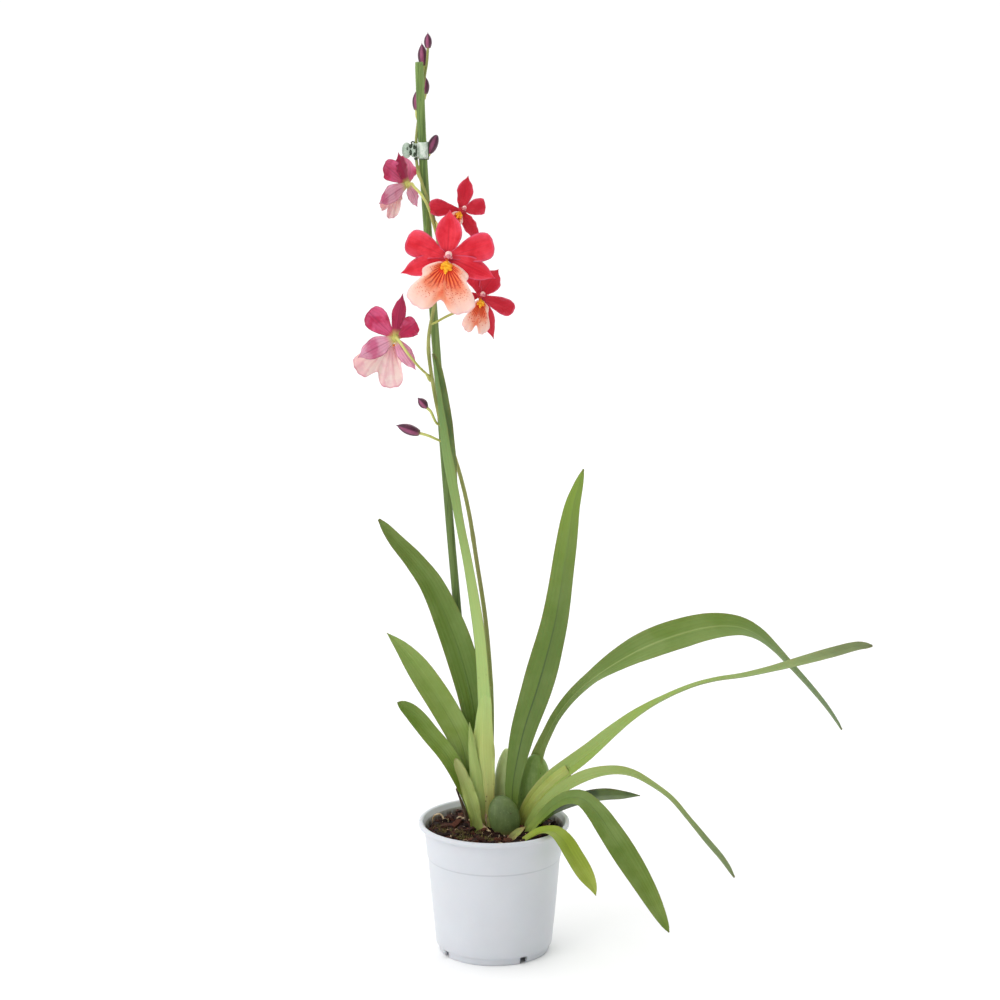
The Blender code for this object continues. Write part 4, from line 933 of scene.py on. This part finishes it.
# Each flower: its heart, the way that it faces, its own stalk from the stem, and its parts
# by angle round the face, clockwise from straight up, with length, width and forward lean
FLOWERS = {
    "flower_top_left": dict(
        heart=(-66.0, 14.0, 608.2), face=(-0.62, 0.75, -0.12), lip=(136, 26, 18),
        sepals=((19, 26, 11, -0.1), (111, 34, 13, -0.12), (-146, 22, 11, 0.3)),
        petals=((51, 26, 17, 0.0), (-30, 21, 18, 0.5)),
        stalk=((-43.4, -1.6, 571), (-46.4, -7.2, 583), (-49.6, -9.0, 594), (-54.6, -7, 603),
               (-60.0, 0.6, 607.6))),
    "flower_top_right": dict(
        heart=(-25.0, -2.0, 590.4), face=(0.35, -0.9, 0.25), lip=(-138, 23, 16),
        sepals=((20, 28, 13, -0.06), (150, 27, 11, -0.1), (-128, 20, 11, -0.06)),
        petals=((-80, 25, 14, -0.06), (82, 21, 14, -0.06)),
        stalk=((-42.2, 0.0, 558), (-38.6, 3.4, 572), (-32.4, 3.8, 584))),
    "flower_main": dict(
        heart=(-34.5, -46.0, 562.0), face=(0.08, -0.98, 0.12), lip=(-170, 38, 50),
        sepals=((4, 35, 20, -0.06), (115, 40, 16, -0.1), (-109, 37, 15, -0.1)),
        petals=((-66, 33, 22, -0.04), (75, 36, 23, -0.04)),
        stalk=((-42.6, -0.6, 543), (-41.4, -14, 547), (-38.4, -28, 553))),
    "flower_right": dict(
        heart=(-10.4, 0.0, 524.8), face=(0.3, -0.93, 0.1), lip=(-166, 26, 21),
        sepals=((40, 25, 17, -0.06), (162, 36, 11, -0.1), (-95, 29, 11, -0.1)),
        petals=((116, 30, 14, -0.04), (-18, 27, 16, -0.04)),
        stalk=((-47.6, -2.2, 503), (-43.3, -5.2, 505.5), (-36.4, -2.4, 509),
               (-27, 2.4, 512.6), (-17.5, 6.6, 518.6))),
    "flower_lower_left": dict(
        heart=(-75.8, 12.0, 489.7), face=(-0.3, 0.92, -0.1), lip=(152, 34, 41),
        sepals=((-10, 35, 11, -0.12), (112, 34, 16, -0.12), (-150, 29, 12, -0.1)),
        petals=((44, 30, 20, -0.04), (-58, 21, 17, 0.1)),
        stalk=((-47.6, 0.0, 461), (-50.6, -2.0, 463.6), (-58, -3.4, 471), (-66, -1.6, 480.6))),
}
HUB_RADIUS = 2.6
HUB_SET_BACK = 0.6

stem_skin, place = new_finish("stem_tissue", Specular_IOR_Level=0.42, Subsurface_Weight=0.08,
                              Subsurface_Scale=0.0015)
_, along, kind = place.mark().parts()
z = place.parts()[2] / MM
cloud = place.grain(9, 3, (1, 1, 0.4))
fibre = place.grain(0.9, 3, (1, 1, 0.08))
brown = z.rise(190, 260) * z.rise(368, 335) * cloud.rise(0.3, 0.6)
tone = cloud.rise(0.36, 0.66).blend("868c48", "a3a55e").coats(
    (brown * 0.55, "70703e"), (z.rise(300, 150) * 0.6, "6d8a3a"),
    (kind.rise(0.6, 0.4), along.rise(0.1, 0.8).blend("a9ac58", "cdd07a")))
fleck = place.dots(2.2, 0.08, 0.16, (1, 1, 0.5))
tone = tone.lit(0.86 + fibre * 0.28).coats((fleck * 0.35, "7c5a3a"))
feed(stem_skin, tone, 0.4 + cloud * 0.2, fibre + cloud * 0.5, 0.16)


def stem_radius(s, turn):
    """The stem tapers, and is a little thicker at its joints."""
    joint = sum(math.exp(-((s - spot) / 0.006) ** 2) for spot in STEM_JOINTS)
    return 2.0 - 1.05 * s ** 1.2 + 0.22 * joint


stem = tube(STEM_ROUTE, stem_radius, 300, 14)
stalks = []
for route in BUD_STALKS:
    way = (Vector(route[-1]) - Vector(route[-2])).normalized()
    stalks.append((*route, Vector(route[-1]) + way * 1.9))
for flower in FLOWERS.values():
    front = Vector(flower["face"]).normalized()
    end = Vector(flower["heart"]) - front * (HUB_RADIUS + HUB_SET_BACK - 0.8)
    stalks.append((*flower["stalk"], end - front * 4.0, end))
for route in stalks:
    stalk = tube(route, lambda s, turn: 0.95 * (0.9 + 0.35 * s) * (
        1 + 0.06 * math.sin(3 * turn + 4 * s)), 36, 12)
    for vert in stalk.verts:
        vert[stalk.verts.layers.float_vector["lay"]][2] = 0.0
    joined(stem, stalk)
for route in BRACTS:
    joined(stem, blade(route, BRACT_WIDTH, ((0.3, 1, 0.2), (0.3, 1, 0.2)), 20, 8, fold=0.5,
                       base=0.8, widest=0.3, thickness=0.4))
stem = make_piece("flower_stem_and_stalks", stem, stem_skin, sharp=60)
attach(stem, "root")
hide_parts("flower_stem")


# Stem clip. A small plastic clip, shaped as a plain beetle, that snaps round cane and stem
# and holds them together. Its two sleeves, the ridged back and the head are one moulding.
# Dark lumps in its hollows and dark lines along its gaps are painted shade, and a thin
# dark curl stands on its head.
CLIP_CENTRE = Vector((-53.8, 2.0, 635.7))
CLIP_HEIGHT = 12.6
BEETLE_CENTRE = Vector((-65.6, -0.6, 635.8))
# Where each lump lies from the beetle's middle, and its radii
SHELL = (((0, 0, 0), (3.7, 3.4, 6.0)), ((5.0, -0.8, 0), (2.9, 2.2, 5.0)))
# Dark lumps in the hollows of the head and below it, as painted shade: where each lies from the
# beetle's middle, and its radii
SHADED_RECESSES = (
    ((3.1, -1.9, 3.3), (1.5, 1.1, 1.7)), ((3.0, -2.0, -1.2), (1.7, 1.1, 2.3)),
    ((5.6, -2.2, 2.4), (1.0, 1.0, 1.9)), ((5.8, -2.3, -2.6), (1.0, 0.9, 2.0)),
    ((0.4, -2.9, 1.6), (0.8, 0.7, 1.2)), ((7.2, -2.0, 0.2), (0.7, 1.2, 4.6)),
    ((6.9, -1.5, -6.2), (1.6, 1.2, 0.9)),
)
# The dark curl on the head, then painted shade lines down the sleeve's side and along its
# lower edge: the middle that each is measured from, its route and its radius
CURL_AND_SHADE_LINES = (
    (BEETLE_CENTRE, ((4.0, -1.6, 4.6), (3.6, -2.2, 6.2), (4.8, -2.4, 6.9), (6.0, -2.2, 6.2)),
     0.5),
    (CLIP_CENTRE, ((4.3, -2.2, 6.2), (4.45, -2.3, 0.0), (4.6, -2.4, -6.6)), 0.4),
    (CLIP_CENTRE, ((-1.6, -4.5, -6.3), (1.4, -4.6, -6.4), (4.7, -2.6, -6.7)), 0.34),
)
RIDGE_HEIGHTS = (-4.0, -2.0, 0.0, 2.0, 4.0)
RIDGE_PATH = ((-1, 0), (-0.75, -0.62), (0, -0.95), (0.6, -0.8))

clip_plastic, place = new_finish("clip_plastic", Specular_IOR_Level=0.5, Coat_Weight=0.25,
                                 Coat_Roughness=0.2)
cloud, fine = place.grain(3.0, 3), place.grain(0.6, 2)
x = place.parts()[0] / MM
tone = cloud.rise(0.35, 0.65).blend("b9cdb8", "dfe8dc").coats(
    (x.rise(-58.5, -60.5) * 0.6, "8fa491"), (x.rise(-66.5, -69.4) * 0.5, "4f6152"),
    (fine.rise(0.62, 0.7) * 0.5, "6f8571"))
feed(clip_plastic, tone, 0.25 + fine * 0.2, fine, 0.08)
# Dark paint for the curl on the head, and painted shade for the clip's hollows and gaps.
clip_curl_and_shade, place = new_finish("clip_curl_and_painted_shade", Specular_IOR_Level=0.4)
cloud = place.grain(1.2, 2)
feed(clip_curl_and_shade, cloud.blend("1f2a1e", "3f5236"), 0.4 + cloud * 0.2, cloud, 0.1)


def dome(middle, radii, turns=28, rings=18):
    """A rounded lump."""
    lump = bmesh.new()
    bmesh.ops.create_uvsphere(lump, u_segments=turns, v_segments=rings, radius=1.0)
    bmesh.ops.scale(lump, vec=radii, verts=lump.verts)
    bmesh.ops.translate(lump, vec=middle, verts=lump.verts)
    return lump


def sleeve(middle, inner, outer, tall, soft=0.35):
    """A short ring with rounded edges, open along its middle."""
    half = tall / 2
    ring = turned(((inner, soft - half), (inner + soft, -half), (outer - soft, -half),
                   (outer, soft - half), (outer, half - soft), (outer - soft, half),
                   (inner + soft, half), (inner, half - soft), (inner, soft - half)), 44)
    bmesh.ops.translate(ring, vec=middle, verts=ring.verts)
    return ring


clip, _ = new_shape()
joined(clip, sleeve(CLIP_CENTRE + Vector((0.2, 0, 0)), 3.3, 3.95, CLIP_HEIGHT))
joined(clip, sleeve(CLIP_CENTRE + Vector((-4.8, -0.3, 0)), 1.9, 3.0, CLIP_HEIGHT - 2))
for spot, radii in SHELL:
    joined(clip, dome(BEETLE_CENTRE + Vector(spot), radii))
for spot, radii in SHADED_RECESSES:
    joined(clip, dome(BEETLE_CENTRE + Vector(spot), radii, 16, 10), 1)
for middle, route, thick in CURL_AND_SHADE_LINES:
    joined(clip, tube([middle + Vector(spot) for spot in route], thick, 14, 8), 1)
for height in RIDGE_HEIGHTS:
    wide = 3.7 * math.sqrt(1 - (height / 6.4) ** 2)
    joined(clip, tube([BEETLE_CENTRE + Vector((wide * x, wide * y, height))
                       for x, y in RIDGE_PATH], 0.24, 14, 6))
clip = make_piece("stem_clip_beetle", clip, clip_plastic, clip_curl_and_shade)
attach(clip, "root")
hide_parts("stem_clip")


# Buds. Seven closed buds on the last stretch of the stem and low down it, dark purple and
# formed of folded sepals that meet in lengthwise seams, with a pink band down each sepal
# that is a painted highlight. Each is fast on the end of its own short stalk.
BUDS = (
    ("bud_lower_long", (-57.4, -4.1, 418.7), (-76.8, -8.0, 426.4), 4.1, 0.0),
    ("bud_lower_small", (-51.4, -4.9, 438.9), (-58.4, -7.5, 447.2), 3.4, 0.25),
    ("bud_at_clip", (-49.6, 8.6, 630.9), (-43.0, 8.6, 646.2), 3.9, 0.9),
    ("bud_left_of_stake", (-58.4, 12.0, 664.9), (-58.2, 12.4, 681.6), 3.2, 0.0),
    ("bud_right_of_stake", (-51.7, 12.2, 676.9), (-51.3, 12.4, 691.4), 3.1, 0.0),
    ("bud_top_left", (-52.8, 8.6, 698.6), (-54.2, 8.6, 717.4), 3.8, 0.0),
    ("bud_top_right", (-49.2, 2.0, 712.3), (-49.4, 2.2, 725.2), 3.0, 0.0),
)
bud_skin, place = new_finish("bud_tissue", Specular_IOR_Level=0.45, Sheen_Weight=0.1)
around, along, _ = place.mark().parts()
cloud, fine = place.grain(5, 3), place.grain(0.8, 3)
highlight_bands = (around * 3.1416 * 3 + 0.6).sine()
# The pink band down the middle of each sepal is a painted highlight.
tone = highlight_bands.rise(-0.1, 1.0).blend("4a1a34", "a04c74").coats(
    (cloud.rise(0.4, 0.65) * 0.4, "6f2c4c"), (along.rise(0.5, 1.0) * 0.6, "3c1430"),
    (along.rise(0.14, 0.0) * 0.7, "7d6a4c"))
feed(bud_skin, tone.lit(0.85 + fine * 0.3), 0.4 + fine * 0.2, fine + cloud, 0.15)
for name, foot, tip, radius, full in BUDS:
    def swell(s, turn):
        body = 0.28 + 0.72 * math.sin(math.pi * min(s * 1.05 + 0.12, 1)) ** 0.8
        body = (body * (1 - s ** 9) - 0.24 * s ** 5) * (1 - full)
        body += full * math.sqrt(max(1 - ((s - 0.54) / 0.47) ** 2, 0.03))
        seam = 1 - 0.07 * max(0.0, math.cos(3 * turn + 0.6)) ** 6
        return max(radius * body * seam, 0.05)

    foot, tip = Vector(foot), Vector(tip)
    bud = make_piece(name + "_closed", tube((foot, foot.lerp(tip, 0.5), tip), swell, 40, 30),
                     bud_skin, sharp=80)
    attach(bud, "root")
    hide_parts(name)


# Flowers. Five open flowers, each of three sepals and two broader petals joined at the heart,
# a wide ruffled lip with a lumpy yellow crest, and a short pale column above it. They are
# living tissue, crimson in front and magenta behind, and each is fast on its own stalk.
PETAL_THICKNESS = 0.5
LIP_OUTLINE = ((0, 0.72), (4, 0.76), (13, 0.97), (26, 1.02), (39, 0.97), (45, 0.84),
               (50, 0.58), (55, 0.49), (63, 0.475), (70, 0.43), (78, 0.32), (88, 0.2),
               (100, 0.12))
PETAL_OUTLINE = ((0, 0.2), (0.2, 0.42), (0.45, 0.8), (0.68, 1.0), (0.84, 0.97), (0.93, 0.8),
                 (0.98, 0.52), (1, 0.28))
SEPAL_OUTLINE = ((0, 0.26), (0.2, 0.64), (0.4, 0.97), (0.52, 1.0), (0.66, 0.88),
                 (0.78, 0.64), (0.86, 0.38), (0.91, 0.2), (0.955, 0.09), (1, 0.02))
# Each kind: how far before the heart it starts, its share of the width given, and its form
TEPAL_KINDS = {
    "sepals": (-0.75, 1.0, dict(fold=0.16, outline=SEPAL_OUTLINE, ripple=0.6)),
    "petals": (0.15, 0.93, dict(fold=-0.12, outline=PETAL_OUTLINE, ripple=1.5)),
}
# On a lip as long as FULL_LIP, how far across and down it each lump lies, and its radius
FULL_LIP = 40
CREST_LUMPS = ((-2.2, 1.4, 2.1), (2.2, 1.4, 2.1), (0.0, 5.2, 1.9), (-3.2, 4.0, 1.4),
               (3.2, 4.0, 1.4), (0.0, 0.2, 2.2), (-1.2, 3.4, 1.5), (1.3, 3.2, 1.5),
               (0.2, 7.2, 1.1))

tepal_skin, place = new_finish("tepal_tissue", Specular_IOR_Level=0.3, Sheen_Weight=0.15,
                               Sheen_Roughness=0.4, Subsurface_Weight=0.12,
                               Subsurface_Scale=0.0015)
lay = place.mark()
across, along, upper = lay.parts()
wide = abs(across)
cloud, fine = place.grain(12, 3), place.grain(0.7, 2)
bent = lay.grain(500, 2, (3.0, 1.0, 0.0), 0.5)
veins = (across * 19.0 + bent * 5.0).sine()
edge = wide.rise(0.78, 1.0) + along.rise(0.93, 1.0)
# The flowers standing behind the front one are painted deeper red, as painted shade.
shade_behind = (place.parts()[1] / MM).rise(-24.0, -12.0)
red = cloud.rise(0.38, 0.64).blend("d6162c", "ea3446").coats(
    # Paler toward the outer part of each lobe: partly the tepals' own colour, partly a painted
    # highlight.
    (along.rise(0.35, 0.85) * wide.rise(0.2, 0.8) * 0.35, "ee5a74"),
    (veins.rise(0.2, 1.0) * 0.1, "ac1026"),
    (wide.rise(0.08, 0.0) * along.rise(0.95, 0.3) * 0.35, "a01028"),
    (along.rise(0.25, 0.0) * 0.6, "9c1230"), (shade_behind * 0.5, "b4142e"),
    (edge.rise(0.0, 0.9) * 0.55, "e4688a"), (edge.rise(0.86, 1.0) * 0.5, "9a2450"))
pink = cloud.rise(0.4, 0.62).blend("c02c58", "d55a84").coats(
    (upper.rise(-0.4, -0.6), cloud.rise(0.36, 0.6).blend("d06a90", "e4a4bd")),
    (upper.rise(-1.4, -1.6), "a6204c"), (veins.rise(0.2, 0.9) * 0.14, "94284e"),
    (wide.rise(0.1, 0.0) * 0.4, "8a2448"), (edge.rise(0.7, 1.0) * 0.7, "8a2450"),
    (along.rise(0.22, 0.02), "c4bf6a"))
tone = upper.rise(0.4, 0.6).blend(pink, red).lit(0.92 + fine * 0.16)
feed(tepal_skin, tone, 0.42 + fine * 0.2, veins * 0.3 + bent + fine * 0.5, 0.12)

lip_skin, place = new_finish("lip_tissue", Specular_IOR_Level=0.3, Sheen_Weight=0.1,
                             Subsurface_Weight=0.15, Subsurface_Scale=0.0015)
bearing, share, upper = place.mark().parts()
cloud, fine = place.grain(7, 3), place.grain(0.7, 2)
middle = abs(bearing).rise(0.22, 0.0) * share.rise(0.5, 0.9)
spread = share + (cloud - 0.5) * 0.3 - middle * 0.42
flame = place.node("ShaderNodeValToRGB", {0: spread}, stops=(
    (0.0, "ea7a1c"), (0.14, "e63e1e"), (0.34, "ec532c"),
    (0.5, "f08c68"), (0.66, "f5b8a0"), (0.84, "f7cbbb"), (1.0, "f6d2c8")))
rays = bearing * 66.0 + (cloud - 0.5) * 5.0
dark = rays.sine().rise(0.1, 0.8) * share.rise(0.12, 0.2) * share.rise(0.58, 0.36)
light = (rays + 3.14).sine().rise(0.4, 1.0) * share.rise(0.14, 0.22) * share.rise(0.48, 0.3)
speck = place.dots(1.5, 0.2, 0.44) * place.grain(5, 2).rise(0.34, 0.5)
speck = speck * share.rise(0.3, 0.42) * share.rise(0.9, 0.6)
rim = share.rise(0.95, 1.0)
flame = flame.coats((dark * 0.8, "a8160e"), (light * 0.55, "f7a860"), (speck * 0.8, "d23a24"),
                    (rim * 0.5, "e2a0b0"))
behind = cloud.rise(0.35, 0.65).blend("f2cace", "f9e2dc").coats(
    ((bearing * 40.0 + cloud * 3.0).sine().rise(0.3, 1.0) * 0.22, "c9708c"),
    (share.rise(0.5, 0.1) * 0.4, "d4688a"), (rim * 0.6, "c45a82"))
tone = upper.rise(0.4, 0.6).blend(behind, flame)
feed(lip_skin, tone, 0.4 + fine * 0.2,
     (bearing * 44.0 + cloud * 2.0).sine() * 0.4 + fine * 0.6 + cloud, 0.2)

crest_skin, place = new_finish("crest_tissue", Specular_IOR_Level=0.45)
cloud = place.grain(2.4, 3)
tone = cloud.rise(0.4, 0.6).blend("fba60c", "ffc528").coats(
    (place.dots(1.6, 0.12, 0.3) * 0.6, "d2581a"))
feed(crest_skin, tone, 0.5 + cloud * 0.2, cloud, 0.3)

column_skin, place = new_finish("column_tissue", Specular_IOR_Level=0.45,
                                Subsurface_Weight=0.15, Subsurface_Scale=0.0015)
_, along, _ = place.mark().parts()
cloud = place.grain(2.6, 3)
tone = cloud.rise(0.35, 0.65).blend("f0b2b2", "fad8cc").coats(
    (along.rise(0.45, 0.0) * 0.8, "c5506a"), (place.dots(1.4, 0.1, 0.24) * 0.35, "b8486a"))
feed(column_skin, tone, 0.32 + cloud * 0.2, cloud, 0.15)


def facing(flower, angle):
    """A flower's heart, its front, and the way out from it at an angle round its face."""
    front = Vector(flower["face"]).normalized()
    up = (Vector((0, 0, 1)) - front * front.z).normalized()
    turn = math.radians(angle)
    return Vector(flower["heart"]), front, up * math.cos(turn) + up.cross(front) * math.sin(turn)


def open_tepals(flower, number):
    """The sepals and petals of a flower, which have grown together at its heart."""
    heart, front, _ = facing(flower, 0)
    tepals, lay = new_shape()
    joined(tepals, dome(heart - front * HUB_SET_BACK, (HUB_RADIUS,) * 3))
    for vert in tepals.verts:
        ahead = (vert.co - heart).dot(front) > -0.4
        vert[lay] = (0.5, 0.12 if ahead else 0.0, 1.0 if ahead else 0.0)
    for kind, (before, share, form) in TEPAL_KINDS.items():
        for angle, length, width, lean in flower[kind]:
            _, _, out = facing(flower, angle)
            foot = heart + front * before
            bow = front * (length * lean)
            tepal = blade(
                (foot + out * 0.4, foot + out * (length * 0.5) + bow * 0.2,
                 foot + out * length + bow), width * share, (front, front), 36, 18, crowd=1.6,
                waves=3, thickness=PETAL_THICKNESS, flutter=1.2, seed=angle * 0.1 + number,
                **form)
            # For its colour, a petal's back is marked 0, a side sepal's -1, the upper one's -2
            behind = 0.0 if kind == "petals" else -1.0 if abs(angle) > 60 else -2.0
            mark = tepal.verts.layers.float_vector["lay"]
            for vert in tepal.verts:
                if vert[mark][2] < 0.5:
                    vert[mark][2] = behind
            joined(tepals, tepal)
    return tepals


def broad_lip(flower, number):
    """The ruffled lip with its crest, on a narrow claw that reaches back to the heart."""
    angle, length, width = flower["lip"]
    heart, front, down = facing(flower, angle)
    side = down.cross(front)
    throat = heart + front * 3.2 + down * (2.2 + length * 0.07)
    spread = width / 2 / (length * 0.6)
    lip, lay = sheet(96, 24)
    for vert in lip.verts:
        across, out, upper = vert[lay]
        bearing = across * LIP_OUTLINE[-1][0]
        turn = math.radians(bearing)
        share = 0.05 + 0.95 * out
        fringe = 1 + 0.009 * share ** 8 * math.sin(turn * 37 + number)
        reach = length * follow(LIP_OUTLINE, abs(bearing)) * share * fringe
        ruffle = 0.045 * length * share ** 3 * math.sin(turn * 5.5 + 0.6)
        ruffle += 0.016 * length * share ** 6 * math.sin(turn * 21 + number)
        bulge = 0.10 * length * math.sin(math.pi * 0.8 * share)
        depth = (1 - upper) * PETAL_THICKNESS * (1 - 0.6 * share ** 8)
        vert.co = (throat + down * (reach * math.cos(turn))
                   + side * (reach * math.sin(turn) * spread)
                   + front * (bulge + ruffle - depth))
    bmesh.ops.recalc_face_normals(lip, faces=lip.faces)
    scale = length / FULL_LIP
    for across, down_by, size in CREST_LUMPS:
        spot = throat + (side * across + down * down_by) * scale + front * (
            (2.4 + 0.3 * down_by) * scale)
        lump = bmesh.new()
        bmesh.ops.create_icosphere(lump, subdivisions=3, radius=size * scale)
        for vert in lump.verts:
            vert.co *= 1 + 0.4 * drift(vert.co * (1.1 / scale) + Vector((across, size, 0)))
        bmesh.ops.translate(lump, vec=spot, verts=lump.verts)
        joined(lip, lump, 1)
    seat_way = (front * 0.66 + down * 0.75).normalized()
    seat = heart - front * HUB_SET_BACK + seat_way * HUB_RADIUS
    joined(lip, tube((seat, seat.lerp(throat + down, 0.5), throat + down * 1.6), 1.1, 10, 14))
    return lip


def short_column(flower):
    """The column above the lip, with a round cap and a small wing at each side."""
    angle, length, _ = flower["lip"]
    heart, front, down = facing(flower, angle)
    side = down.cross(front)
    scale = length / FULL_LIP
    foot = heart - down * 1.3 + front * HUB_RADIUS

    def at(ahead, below, aside=0.0):
        """A place on the column, in millimetres of a full-sized one."""
        return (foot + front * ahead * scale + down * below * scale
                + side * (aside * scale))

    def girth(s, turn):
        body = 1.8 + 1.0 * math.sin(math.pi * min(s * 1.1, 1) ** 1.7) ** 2
        return scale * body * (1 - 0.75 * max(0.0, s - 0.86) ** 2 / 0.02)

    column = tube((foot, at(4.0, -0.8), at(8.5, 0.4)), girth, 26, 26)
    joined(column, dome(at(7.4, 0.6), (1.9 * scale,) * 3, 20, 14))
    for aside in (-2.5, 2.5):
        joined(column, dome(at(5.4, 1.4, aside), (1.1 * scale,) * 3, 14, 10))
    return column


for number, (name, flower) in enumerate(FLOWERS.items()):
    tepals = make_piece(name + "_petals", open_tepals(flower, number), tepal_skin, sharp=70)
    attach(tepals, "root")
    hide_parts(name + "_tepals")
    lip = make_piece(name + "_broad_lip", broad_lip(flower, number), lip_skin, crest_skin,
                     sharp=70)
    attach(lip, "root")
    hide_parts(name + "_lip")
    column = make_piece(name + "_short_column", short_column(flower), column_skin, sharp=80)
    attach(column, "root")
    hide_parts(name + "_column")


# Studio. A plain white floor and soft light from all round, with a large soft light at the
# upper left front and weaker ones at the right and behind. The camera stands as the
# photographer's did, 2.6 m away and a little above the plant.
FLOOR_HALF = 30000.0
LAMPS = (
    # name, place and width in metres, watts
    ("key", (-1.7, -1.9, 2.4), 1.6, 20.0),
    ("fill", (2.4, -1.6, 1.5), 1.8, 4.0),
    ("back", (0.6, 2.2, 2.2), 1.6, 6.0),
)
LAMP_AIM = Vector((0.03, 0, 0.35))
CAMERA_PLACE = (0.0047, -2.6, 0.97)
CAMERA_TILT = 76.9
CAMERA_LENS = 124.5
SENSOR_WIDTH = 36.0

floor_paint, place = new_finish("floor_paint", Specular_IOR_Level=0.0)
feed(floor_paint, place.grain(900, 2).blend("fbfbfb", "ffffff"),
     0.9 + place.grain(400, 2) * 0.05)
floor = bmesh.new()
bmesh.ops.create_grid(floor, x_segments=2, y_segments=2, size=FLOOR_HALF)
floor = make_piece("floor", floor, floor_paint)

scene = bpy.context.scene
world = bpy.data.worlds.new("studio")
world.use_nodes = True
sky = world.node_tree.nodes["Background"]
sky.inputs["Color"].default_value = (1.0, 1.0, 1.0, 1.0)
x, y, _ = Wire(sky.outputs[0]).node("ShaderNodeTexCoord", out="Generated").parts()
shade = (x * 0.72 - y * 0.69).rise(0.4, 0.85)
world.node_tree.links.new((1.22 - shade * 1.15).socket, sky.inputs["Strength"])
scene.world = world
for name, spot, wide, watts in LAMPS:
    lamp = bpy.data.lights.new(name, "AREA")
    lamp.energy, lamp.size = watts, wide
    light = bpy.data.objects.new(name, lamp)
    light.location = spot
    light.rotation_euler = (LAMP_AIM - Vector(spot)).to_track_quat("-Z", "Y").to_euler()
    scene.collection.objects.link(light)
scene.view_settings.view_transform = "Standard"
scene.view_settings.look = "None"

lens = bpy.data.cameras.new("camera")
lens.sensor_width = SENSOR_WIDTH
lens.lens = CAMERA_LENS
camera = bpy.data.objects.new("camera", lens)
camera.location = CAMERA_PLACE
camera.rotation_euler = (math.radians(CAMERA_TILT), 0.0, 0.0)
scene.collection.objects.link(camera)
scene.camera = camera
